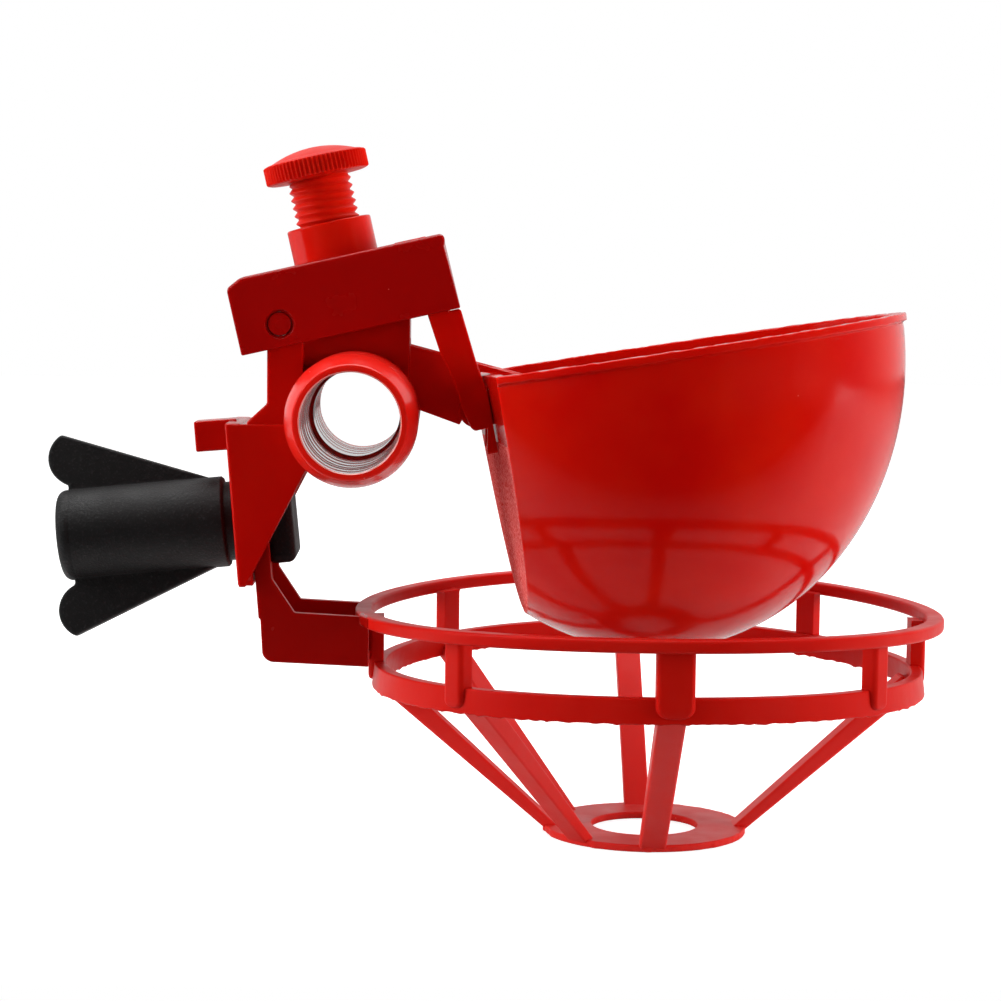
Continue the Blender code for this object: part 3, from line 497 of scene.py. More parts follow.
def polish(thing, sharper_than=36.0):
    """Smooth shading that keeps flat faces flat, and edges sharp beyond an angle in degrees."""
    thing.data.shade_smooth()
    thing.data.set_sharp_from_angle(angle=radians(sharper_than))
    step = thing.modifiers.new("normals", "WEIGHTED_NORMAL")
    step.keep_sharp = True
    step.weight = 100
    settle(thing)
    return thing


def arc(centre, radius, start, end, steps):
    """Points of a round stretch, angles in degrees from +X towards +Z."""
    points = []
    for i in range(steps + 1):
        angle = radians(start + (end - start) * i / steps)
        points.append((centre[0] + radius * cos(angle), centre[1] + radius * sin(angle)))
    return points


def rough(place, size, seed=0.0):
    """Smooth random value from -1 to 1 at a place, with features of a size."""
    return noise.noise(Vector(place) / size + Vector((seed, seed * 1.7, -seed)))


def leave_slots(thing, count):
    """Empty places for a piece's finishes, for its faces to be numbered before dress fills them."""
    for _ in range(count):
        thing.data.materials.append(None)


def dress(thing, node, body, slot, *finishes):
    """Give a piece its finishes, hide the imported part it stands for and attach it to the body it rides on."""
    slots = thing.data.materials
    for number, finish in enumerate(finishes):
        if number < len(slots):
            slots[number] = finish
        else:
            slots.append(finish)
    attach(thing, body)
    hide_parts(node)


# Frames of the pieces

def frame_at(place, turn=(0.0, 0.0, 0.0)):
    """A place and its turns about X, then Y, then Z."""
    x_turn, y_turn, z_turn = [Matrix.Rotation(angle, 4, axis) for angle, axis in zip(turn, "XYZ")]
    return Matrix.Translation(place) @ (z_turn @ y_turn @ x_turn)


TEE = frame_at((TEE_X, 0, TEE_Z), (QUARTER, 0, 0))
CLAMP = frame_at((0, 0, 0), (0, -CLAMP_LEAN, 0))
LEVER = frame_at((PIN_X, 0, PIN_Z), (0, -LEVER_TILT, 0))
PIN = LEVER @ frame_at((0, 0, 0), (QUARTER, 0, 0))
SCREW = LEVER @ frame_at((VALVE_OFFSET, 0, 0))
CUP = frame_at((CUP_X, 0, CUP_Z), (CUP_ROLL, -CUP_TILT, CUP_YAW))
CUP_BACK_FACE = CUP @ frame_at((-CUP_BACK, 0, 0), (0, -CUP_BACK_DRAFT, 0))
BASKET = frame_at((BASKET_X, 0, BASKET_Z))
BOLT = CLAMP @ frame_at((0, 0, -CLAMP_TO_BOLT), (0, -BOLT_DROOP, 0))
KNOB = BOLT @ frame_at((0, 0, 0), (0, -QUARTER, 0)) @ frame_at((0, 0, 0), (0, 0, KNOB_TURN))


def on_clamp_face(height):
    """X of the leaning clamp face at a height above the origin."""
    return -height * tan(CLAMP_LEAN)


# Valve body

def bore_line(start, wall_r):
    """The bore from one end to the middle stop, with its grooves."""
    low_r = TEE_BORE_R - GROOVE_DEPTH
    line = [start]
    for place in BORE_GROOVES:
        line += [(wall_r, place + GROOVE_HALF), (low_r, place + GROOVE_HALF / 3),
                 (low_r, place - GROOVE_HALF / 3), (wall_r, place - GROOVE_HALF)]
    stop = (TEE_BORE_R - STOP_RING_STEP, STOP_RING_HALF - STOP_RING_STEP)
    return line + [(TEE_BORE_R, STOP_RING_HALF), stop]


def tee_profile():
    """The tee's wall: outside from end to end, then the bore with its grooves and middle stop."""
    tee_r = TEE_BORE_R + TEE_WALL
    mouth_r = TEE_BORE_R + TEE_MOUTH_WALL
    straight = TEE_HALF - TEE_TAPER
    end = TEE_HALF - MOUTH_ROUND
    half = [(TEE_BORE_R + MOUTH_ROUND / 2, TEE_HALF)]
    half += arc((mouth_r - MOUTH_ROUND, end), MOUTH_ROUND, 90, 12, 5)
    for i in range(1, 6):
        share = i / 6
        bulge = MOUTH_BULGE * TEE_WALL * sin(pi * share)
        half.append((mouth_r + (tee_r - mouth_r) * share + bulge,
                     TEE_HALF - TEE_TAPER * share - MOUTH_ROUND * (1 - share)))
    half += [(tee_r, straight), (tee_r, straight / 2)]
    inside = bore_line((TEE_BORE_R, TEE_HALF - MOUTH_ROUND / 2), TEE_BORE_R)
    return both_ways(half) + list(reversed(both_ways(inside)))


def build_valve_body():
    body = made("valve_body_moulding", moved(lathe(tee_profile(), BORE_SEGMENTS, closed=True), TEE))
    valve_x = PIN_X + VALVE_OFFSET
    top = PIN_Z + COLUMN_TOP
    floor = TEE_Z + CHAMBER_FLOOR
    step_x = valve_x - CHAMBER_LEFT
    left = PIN_X - COLUMN_LEFT
    web_top = CLAMP_PLATE_UP
    web_x = on_clamp_face(web_top)
    side = COLUMN_HALF_WIDTH
    column = [(left, top), (step_x, top), (step_x, TEE_Z), (TEE_X, TEE_Z), (TEE_X, web_top - TOP_WEB / 2),
              (left - COLUMN_FOOT, web_top - TOP_WEB / 2), (left - COLUMN_FOOT, web_top + 2 * STEP),
              (left, web_top + COLUMN_FOOT)]
    knuckle = rod((PIN_X, STEP - side, PIN_Z), (PIN_X, side - STEP, PIN_Z), KNUCKLE_R, EDGE)
    chamber_right = valve_x + CHAMBER_RIGHT + CHAMBER_WALL
    wide = CHAMBER_HALF_WIDTH
    chamber = block((step_x - CHAMBER_WALL, -wide, TEE_Z), (chamber_right, wide, top - STEP))
    solids = [plate(column, -side, side), knuckle, chamber]

    # Clamp housing: plate, two triangular side plates, the web over the basket's leg and the peg
    inner = BRACKET_HALF_WIDTH + GAP
    outer = inner + SIDE_PLATE
    low_z = -CLAMP_PLATE_DOWN
    low_x = on_clamp_face(low_z)
    face = [(web_x, web_top), (web_x + CLAMP_PLATE, web_top), (low_x + CLAMP_PLATE, low_z), (low_x, low_z)]
    triangle = [(web_x + STEP, web_top - STEP), (TEE_X, web_top - STEP), (TEE_X, TEE_Z - TEE_BORE_R),
                (SIDE_PLATE_DEPTH, 0.0), (low_x + CLAMP_PLATE / 2, low_z - GAP), (low_x + STEP, low_z - GAP)]
    solids.append(plate(face, STEP - outer, outer - STEP))
    for start in (-outer, inner):
        solids.append(plate(triangle, start, start + SIDE_PLATE))
    solids.append(block((web_x + CLAMP_PLATE / 2, -inner - SIDE_PLATE / 2, web_top - TOP_WEB),
                        (TEE_X, inner + SIDE_PLATE / 2, web_top - 2 * STEP), FINE_EDGE))
    solids.append(moved(block((-PEG_LENGTH, -PEG_HALF_WIDTH, PEG_BASE),
                              (CLAMP_PLATE / 2, PEG_HALF_WIDTH, PEG_BASE + PEG_HEIGHT)), CLAMP))

    # Spout: two side walls and a shallow floor between them
    start_x = chamber_right - CHAMBER_WALL
    edge_z = floor + SPOUT_EDGE_ABOVE_FLOOR
    tip_x = chamber_right + SPOUT_REACH

    def edge(x):
        return edge_z - (x - chamber_right) * tan(SPOUT_SLOPE)

    cup_corner = CUP @ Vector((-CUP_BACK, 0.0, 0.0))
    swing = hypot(cup_corner.x - PIN_X, cup_corner.z - PIN_Z) - SPOUT_RUN_TO_CUP
    clear_z = cup_corner.z + sin(abs(CUP_ROLL)) * SPOUT_HALF_WIDTH + SPOUT_RUN_TO_CUP
    skirt_z = edge(cup_corner.x) - SPOUT_SKIRT
    low_angle = degrees(asin((skirt_z - PIN_Z) / swing))
    high_angle = degrees(asin((clear_z - PIN_Z) / swing))
    over_wall = cup_corner.x + CUP_WALL + CUP_LIP
    wall = [(start_x, edge(start_x)), (tip_x, edge(tip_x)), (tip_x, edge(tip_x) - SPOUT_TIP_DEPTH),
            (over_wall, clear_z)]
    wall += list(reversed(arc((PIN_X, PIN_Z), swing, low_angle, high_angle, 10)))
    wall += [(start_x, edge(start_x) - SPOUT_SKIRT)]
    for near in (-SPOUT_HALF_WIDTH, SPOUT_HALF_WIDTH - SPOUT_WALL):
        solids.append(plate(wall, near, near + SPOUT_WALL, FINE_EDGE))
    lip_z = edge(tip_x)
    bed = [(start_x, floor), (over_wall, edge(over_wall) - STEP), (tip_x - GAP, lip_z - GAP),
           (tip_x - GAP, lip_z - SPOUT_FLOOR), (over_wall, clear_z + STEP),
           (start_x, floor - 2 * SPOUT_FLOOR)]
    middle = SPOUT_HALF_WIDTH - SPOUT_WALL / 2
    solids.append(plate(bed, -middle, middle, 0.0))
    join(body, *solids)

    # Hollows: the chamber with its nozzle, the water bore, the pin hole and the bolt hole
    window_side = SPOUT_HALF_WIDTH - SPOUT_WALL
    bore_end = TEE_HALF + PAST
    cut(body,
        block((step_x, CHAMBER_WALL - wide, floor),
              (valve_x + CHAMBER_RIGHT, wide - CHAMBER_WALL, top + PAST), 0.0),
        block((valve_x, -window_side, floor),
              (chamber_right + PAST, window_side, floor + 1.5 * SPOUT_EDGE_ABOVE_FLOOR), 0.0))
    nozzle_top = floor + NOZZLE_HEIGHT
    join(body, rod((valve_x, 0, floor - GAP), (valve_x, 0, nozzle_top), NOZZLE_R, 0.0, SMALL_SEGMENTS,
                   NOZZLE_TIP_R))
    cut_r = TEE_BORE_R + STEP / 3
    bore = [(0.0, bore_end)] + both_ways(bore_line((cut_r, bore_end), cut_r)) + [(0.0, -bore_end)]
    cut(body,
        rod((valve_x, 0, TEE_Z), (valve_x, 0, nozzle_top + PAST), ORIFICE_R, 0.0, ORIFICE_SEGMENTS),
        moved(lathe(bore, BORE_SEGMENTS), TEE),
        rod((PIN_X, -side - PAST, PIN_Z), (PIN_X, side + PAST, PIN_Z), PIN_R + PIN_RUN),
        moved(rod((-PAST, 0, 0), (CLAMP_PLATE + PAST, 0, 0), BOLT_R + GAP), BOLT))
    for vertex in body.data.vertices:
        if vertex.co.z < GAP - CLAMP_PLATE_DOWN:
            vertex.co.z -= FLASH * max(0.0, rough(vertex.co, FLASH_SIZE))
    leave_slots(body, 3)
    for face in body.data.polygons:
        away = hypot(face.center.x - TEE_X, face.center.z - TEE_Z)
        on_tee_end = away < TEE_BORE_R + 1.2 * TEE_WALL and abs(face.center.y) > side
        # The bore takes the pale pink finish, a painted reflection
        if away < TEE_BORE_R + GAP:
            face.material_index = 1
        # The tee's ends and the spout take a brighter copy of the red: painted light
        elif on_tee_end or face.center.x > chamber_right:
            face.material_index = 2
    return polish(body)


# Lever cap, pin and screw

def cap_side():
    """Half width of the cap's hollow."""
    return COLUMN_HALF_WIDTH + CAP_SIDE_RUN


def build_lever_cap():
    outer = cap_side() + CAP_WALL
    bend = CAP_TOP - CAP_CHAMFER_Z
    shell = [(-CAP_LEFT, -CAP_SKIRT), (-CAP_LEFT, bend), (CAP_CHAMFER_X - CAP_LEFT, CAP_TOP),
             (CAP_RIGHT - CAP_TAPER, CAP_TOP), (CAP_RIGHT, bend), (CAP_RIGHT, -CAP_SKIRT)]
    tray = plate(shell, -outer, outer, 0.0)
    upper_z = CAP_TOP - 1.5 * CAP_CHAMFER_Z
    upper = [line for line in tray.edges if all(end.co.z > upper_z for end in line.verts)]
    bmesh.ops.bevel(tray, geom=upper, offset=CAP_TOP_ROUND, offset_type="OFFSET", segments=5, profile=0.5,
                    affect="EDGES", clamp_overlap=True)
    soften(tray, CAP_ROUND, 2, 60.0)
    cap = made("lever_cap_moulding", moved(tray, LEVER))
    foot = CAP_TOP - CAP_WALL / 2
    boss_top = CAP_TOP + BOSS_HEIGHT
    boss = rod((VALVE_OFFSET, 0, foot), (VALVE_OFFSET, 0, boss_top), BOSS_R, EDGE, BOSS_SEGMENTS)
    join(cap, moved(boss, LEVER))
    ceiling = CAP_TOP - CAP_WALL
    hollow = [(CAP_WALL - CAP_LEFT, -CAP_SKIRT - PAST), (CAP_WALL - CAP_LEFT, ceiling - CAP_CHAMFER_Z / 2),
              (CAP_WALL - CAP_LEFT + CAP_CHAMFER_X / 2, ceiling), (CAP_RIGHT - CAP_WALL, ceiling),
              (CAP_RIGHT - CAP_WALL, -CAP_SKIRT - PAST)]
    slot_right = CAP_RIGHT - TAB_SETBACK + GAP
    cutters = [plate(hollow, -cap_side(), cap_side(), 0.0),
               rod((VALVE_OFFSET, 0, 0), (VALVE_OFFSET, 0, boss_top + PAST), THREAD_R + GAP, 0.0,
                   BOSS_SEGMENTS),
               rod((0, -outer - PAST, 0), (0, outer + PAST, 0), PIN_R + PIN_RUN / 2),
               block((slot_right - TAB_LENGTH - 2 * GAP, -TAB_HALF_WIDTH - GAP, ceiling - PAST),
                     (slot_right, TAB_HALF_WIDTH + GAP, CAP_TOP + PAST), 0.0)]
    deep = outer - PIN_RECESS_DEPTH
    recess_r = PIN_RECESS_R - GAP / 2
    for way in (-1, 1):
        cutters.append(rod((0, way * deep, 0), (0, way * (outer + PAST), 0), recess_r, 0.0, ROD_SEGMENTS,
                           recess_r + (PAST + PIN_RECESS_DEPTH) / 4))
    cut(cap, *[moved(cutter, LEVER) for cutter in cutters])
    leave_slots(cap, 2)
    to_lever = LEVER.inverted()
    # The boss keeps the bright red; the rest of the cap takes the darker copy, painted shade
    for face in cap.data.polygons:
        if (to_lever @ face.center).z > CAP_TOP + STEP:
            face.material_index = 1
    return polish(cap)


def build_hinge_pin():
    reach = cap_side() + CAP_WALL - PIN_RECESS_DEPTH / 2
    dome = PIN_R / 8
    half = [(0.0, reach)] + arc((PIN_R - dome, reach - dome), dome, 90, 0, 4)
    return polish(made("hinge_pin_turned", moved(lathe(both_ways(half), ROD_SEGMENTS), PIN)))


def thread_radius(height, turn):
    """The screw's radius on its helix: a nearly pointed ridge once a pitch."""
    phase = (height / THREAD_PITCH + turn) % 1.0
    away = abs(phase - 0.5) * 2
    rise = min(max((0.96 - away) / 0.84, 0.0), 1.0)
    return THREAD_R - THREAD_DEPTH + THREAD_DEPTH * rise


def build_adjusting_screw():
    boss_top = CAP_TOP + BOSS_HEIGHT
    under_head = boss_top + SCREW_SHOWN
    head_top = under_head + HEAD_HEIGHT
    dome_r = HEAD_R - 3 * KNURL_DEPTH
    root_r = THREAD_R - THREAD_DEPTH
    thread_end = CAP_TOP - CAP_WALL
    nose_end = seal_face() + SEAL_THICK
    segments = 4 * KNURLS
    chamfer = KNURL_DEPTH

    # Each row is a height, a radius and how deep its knurls are. Without a radius it carries the thread.
    rows = []
    for i in range(13):
        radius = dome_r * i / 12
        rows.append((head_top + HEAD_DOME * (1 - (radius / dome_r) ** 2), radius, 0.0))
    rim_r = HEAD_R - KNURL_DEPTH - chamfer
    rows += [(head_top, rim_r, 0.0), (head_top - chamfer / 2, HEAD_R - chamfer / 2, 0.6),
             (head_top - chamfer, HEAD_R, 1.0), (under_head + chamfer, HEAD_R, 1.0),
             (under_head + chamfer / 2, HEAD_R - chamfer / 2, 0.6), (under_head, rim_r, 0.0),
             (under_head - GAP / 3, root_r + 3 * GAP, 0.0), (under_head - GAP, root_r + GAP, 0.0)]
    thread_top = under_head - 3 * GAP
    count = int((thread_top - thread_end) / (THREAD_PITCH / 10))
    for i in range(count + 1):
        rows.append((thread_top - (thread_top - thread_end) * i / count, None, 0.0))
    rows += [(thread_end - GAP, root_r, 0.0), (SHOULDER_Z, root_r, 0.0), (SHOULDER_Z, NOSE_R, 0.0),
             (nose_end + GAP, NOSE_R, 0.0), (nose_end + GAP, 0.0, 0.0)]
    loops = []
    for height, radius, knurl in rows:
        loop = []
        for i in range(segments):
            angle = 2 * pi * i / segments
            here = thread_radius(height, angle / (2 * pi)) if radius is None else radius
            groove = 0.5 - 0.5 * cos(KNURLS * angle)
            here -= knurl * KNURL_DEPTH * (1 - (1 - groove) ** 2)
            loop.append((here * cos(angle), here * sin(angle), height))
        loops.append(loop)
    return polish(made("adjusting_screw_turned", moved(skin(loops), SCREW)), 50.0)


def seal_face():
    """Height of the seal's lower face in the lever's frame."""
    return TEE_Z + CHAMBER_FLOOR + NOZZLE_HEIGHT - PIN_Z + SEAL_LIFT


def build_lift_spring():
    """A coil whose axis bends from the upright nozzle to the tilted screw."""
    wire = SPRING_WIRE / 2
    low = Vector((PIN_X + VALVE_OFFSET, 0, TEE_Z + CHAMBER_FLOOR + wire + GAP))
    high = SCREW @ Vector((0, 0, SHOULDER_Z - wire - GAP))
    tilt = SCREW.to_quaternion()
    curve = bpy.data.curves.new("coil", "CURVE")
    curve.dimensions = "3D"
    curve.bevel_depth = wire
    curve.bevel_resolution = 3
    curve.use_fill_caps = True
    count = SPRING_TURNS * SPRING_STEPS + 1
    line = curve.splines.new("POLY")
    line.points.add(count - 1)
    for step in range(count):
        share = step / (count - 1)
        turn = 2 * pi * step / SPRING_STEPS
        flat = Vector((SPRING_R * cos(turn), SPRING_R * sin(turn), 0))
        # The end turns lie flat, and the pitch grows towards the middle
        rise = share - sin(2 * pi * share) / (2 * pi)
        place = low.lerp(high, rise) + flat.lerp(tilt @ flat, rise)
        line.points[step].co = (*place, 1.0)
    coil = placed("coil", curve)
    mesh = final_mesh(coil)
    bpy.data.objects.remove(coil, do_unlink=True)
    mesh.name = "lift_spring_coil"
    mesh.shade_smooth()
    return placed("lift_spring_coil", mesh)


# Hanger and cup

def arm_outline():
    """One hanger arm seen from the side, in the lever's frame."""
    shoulder = -CAP_SKIRT - GAP
    inside_right = CAP_RIGHT - CAP_WALL - GAP
    left = CAP_RIGHT - ARM_TOP_WIDTH
    top = CAP_TOP - CAP_WALL - GAP
    drop = ARM_LENGTH
    low = shoulder - drop
    foot_right = CAP_RIGHT + ARM_SPREAD - ARM_FOOT_WIDTH / 3
    return [(left, top), (inside_right, top), (inside_right, shoulder), (CAP_RIGHT, shoulder),
            (CAP_RIGHT + ARM_SPREAD / 3, shoulder - 0.44 * drop),
            (CAP_RIGHT + ARM_SPREAD, shoulder - 0.9 * drop),
            (foot_right, low - ARM_FOOT), (foot_right - ARM_FOOT_WIDTH, low - ARM_FOOT),
            (foot_right - ARM_FOOT_WIDTH / 2, low), (left + 1.9 * ARM_SPREAD, low),
            (left + 1.6 * ARM_SPREAD, low + 0.03 * drop), (left + 1.2 * ARM_SPREAD, shoulder - 0.8 * drop),
            (left + ARM_SPREAD, shoulder - 0.55 * drop), (left + ARM_SPREAD / 3, shoulder - 0.3 * drop),
            (left, shoulder)]


def arm_inner():
    """Half distance between the two arms."""
    return cap_side() - GAP - ARM_THICK


def build_cup_hanger():
    inner = arm_inner()
    outer = inner + ARM_THICK
    middle = inner + ARM_THICK / 2
    hanger = made("cup_hanger_moulding", moved(plate(arm_outline(), -outer, -inner), LEVER))
    top = CAP_TOP - CAP_WALL - GAP
    right = CAP_RIGHT - CAP_WALL - GAP
    left = CAP_RIGHT - ARM_TOP_WIDTH
    tab_right = CAP_RIGHT - TAB_SETBACK
    solids = [plate(arm_outline(), inner, outer),
              block((left, -middle, -CAP_SKIRT), (right, middle, top - GAP), 0.0),
              block((tab_right - TAB_LENGTH, -TAB_HALF_WIDTH, top - ARM_THICK / 2),
                    (tab_right, TAB_HALF_WIDTH, CAP_TOP + TAB_PROUD), FINE_EDGE)]
    join(hanger, *[moved(solid, LEVER) for solid in solids])
    cut(hanger, moved(block((left + CAP_WALL, CAP_WALL - inner, -CAP_SKIRT - PAST),
                            (right + PAST, inner - CAP_WALL, top - CAP_WALL), 0.0), LEVER))
    for way in (-1, 1):
        hook = rod((HOOK_X, way * middle, -HOOK_Z), (HOOK_X, way * (inner - EAR_WIDTH - GAP), -HOOK_Z),
                   HOOK_PIN_R, 0.0, SMALL_SEGMENTS)
        join(hanger, moved(hook, LEVER))
    behind_back = block((-GAP, -CUP_R, -2 * CUP_DEPTH), (2 * CUP_R, CUP_R, CUP_LIP_HEIGHT), 0.0)
    cut(hanger, moved(behind_back, CUP_BACK_FACE))
    return polish(hanger)


def cup_loop(radius, back, corner, counts):
    """Points of one level of the cup: a circle cut by the straight back, its corners rounded."""
    on_circle, on_corner, on_back = counts
    points = []
    turn = acos((back - corner) / (radius - corner)) if radius > back else 0.0
    corner_r = corner if radius > back else 0.0
    reach = radius - corner_r
    for i in range(on_circle + 1):
        angle = turn + (2 * pi - 2 * turn) * i / on_circle
        points.append((-radius * cos(angle), radius * sin(angle)))
    centre = (-reach * cos(turn), reach * sin(turn))
    for i in range(1, on_corner + 1):
        angle = turn * (1 - i / on_corner)
        points.append((centre[0] - corner_r * cos(angle), -centre[1] - corner_r * sin(angle)))
    for i in range(1, on_back):
        points.append((centre[0] - corner_r, centre[1] * (2 * i / on_back - 1)))
    for i in range(on_corner):
        angle = turn * i / on_corner
        points.append((centre[0] - corner_r * cos(angle), centre[1] + corner_r * sin(angle)))
    return points


def build_drinking_cup():
    draft = tan(CUP_BACK_DRAFT)
    wall = CUP_WALL
    lip = CUP_R + CUP_LIP
    ring = CUP_LIP_ROUND

    # Levels from the outer bottom over the rim to the inner bottom: radius, back, height
    levels = []
    outer_steps = 64
    for i in range(outer_steps):
        angle = QUARTER * (1 - i / outer_steps)
        height = -CUP_DEPTH * sin(angle)
        if height < -CUP_LIP_HEIGHT - CUP_LIP:
            levels.append((CUP_R * cos(angle), CUP_BACK + height * draft, height))
    levels.append((CUP_R - STEP, CUP_BACK - CUP_LIP_HEIGHT * draft, -CUP_LIP_HEIGHT - CUP_LIP / 2))
    levels.append((CUP_R + CUP_LIP / 3, CUP_BACK - CUP_LIP_HEIGHT * draft, -CUP_LIP_HEIGHT - ring / 3))
    for radius, height in arc((lip - ring, -CUP_LIP_HEIGHT + ring), ring, -70, 0, 3):
        levels.append((radius, CUP_BACK - CUP_LIP_HEIGHT * draft, height))
    for radius, height in arc((lip - ring, -ring), ring, 0, 90, 4):
        levels.append((radius, CUP_BACK - (lip - radius), height))
    inner_r = CUP_R - wall
    for radius, height in arc((inner_r + ring, -ring), ring, 90, 180, 4):
        levels.append((radius, CUP_BACK - wall + (radius - inner_r), height))
    inner_steps = 48
    for i in range(1, inner_steps + 1):
        angle = QUARTER * i / inner_steps
        height = -(CUP_DEPTH - wall) * sin(angle)
        levels.append((inner_r * cos(angle), CUP_BACK - wall + height * draft, min(height, -ring)))

    counts = (240, 6, 48)
    loops = []
    for radius, back, height in levels:
        loop = []
        for x, y in cup_loop(max(radius, 1e-9), back, CUP_CORNER, counts):
            burr = 0.0
            if height > -CUP_LIP_HEIGHT - CUP_LIP / 3:
                burr = sum(CUP_BURR * rough((x, y, 0.0), size, seed) for size, seed in CUP_BURRS)
            loop.append((x, y, height + burr))
        loops.append(loop)
    shape = skin(loops)
    shape.normal_update()
    # The flat back below the frost line takes the frosted finish, with its painted sheen
    for face in shape.faces:
        middle = face.calc_center_median()
        facing = face.normal
        square_on = abs(facing.x * cos(CUP_BACK_DRAFT) + facing.z * sin(CUP_BACK_DRAFT)) > 0.999
        if square_on and facing.x < 0 and middle.x < STEP - CUP_BACK + CUP_DEPTH * draft and middle.z < -FROST_TOP:
            face.material_index = 1
    cup = made("drinking_cup_moulding", moved(shape, CUP))
    leave_slots(cup, 2)

    facet = CAP_RIGHT + ARM_SPREAD
    ear_r = HOOK_PIN_R + HOOK_PLAY + EAR_RIM
    hook = [(facet, ear_r - HOOK_Z), (HOOK_X, ear_r - HOOK_Z)]
    hook += arc((HOOK_X, -HOOK_Z), ear_r, 90, 270, 24)[1:-1]
    hook += [(HOOK_X, -ear_r - HOOK_Z), (facet, -ear_r - HOOK_Z)]
    high = arm_inner() - GAP
    ears = [plate(hook, low, low + EAR_WIDTH - GAP, FINE_EDGE) for low in (-high, high - EAR_WIDTH + GAP)]
    join(cup, *[moved(ear, LEVER) for ear in ears])
    hook_hole = rod((HOOK_X, -CUP_R, -HOOK_Z), (HOOK_X, CUP_R, -HOOK_Z),
                    HOOK_PIN_R + HOOK_PLAY, 0.0, SMALL_SEGMENTS)
    cut(cup, moved(hook_hole, LEVER))
    return polish(cup)


# Guard basket

def band(top_r, low_r, width, high, low, edge, segments=RING_SEGMENTS):
    """A ring with a rounded section, between two heights."""
    section = arc((top_r - edge, high - edge), edge, 90, 0, 4)
    section += arc((low_r - edge, low + edge), edge, 0, -90, 4)
    section += arc((low_r - width + edge, low + edge), edge, -90, -180, 4)
    section += arc((top_r - width + edge, high - edge), edge, 180, 90, 4)
    return lathe(section, segments, closed=True)


def round_the_basket(shape, angle):
    """Turn a shape made on the near side by degrees towards +X, and bring it to the basket."""
    return moved(shape, BASKET @ Matrix.Rotation(radians(angle), 4, "Z"))


def post(half, low, high):
    """An upright post on the near side, widening into the ring above, its foot lapped over the lower ring."""
    foot = half * 0.6
    levels = []
    for i in range(7):
        angle = QUARTER * i / 6
        shy = 1 - sin(angle)
        levels.append((low + foot * (1 - cos(angle)), half - foot * shy, POST_OUTER_R - POST_EDGE / 2 * shy))
    for i in range(6):
        angle = QUARTER * i / 5
        wide = half + POST_FLARE * (1 - cos(angle))
        levels.append((high - POST_FLARE * (1 - sin(angle)), wide, POST_OUTER_R))
    loops = []
    for height, wide, outside in levels:
        corner = min(POST_EDGE, wide * 0.8)
        near = [(x, -y) for x, y in arc((wide - corner, outside - corner), corner, 0, 90, 6)]
        near += [(x, -y) for x, y in arc((corner - wide, outside - corner), corner, 90, 180, 6)]
        near += [(-wide, POST_DEPTH - POST_OUTER_R), (wide, POST_DEPTH - POST_OUTER_R)]
        loops.append([(x, y, height) for x, y in near])
    return skin(loops, ends=True)


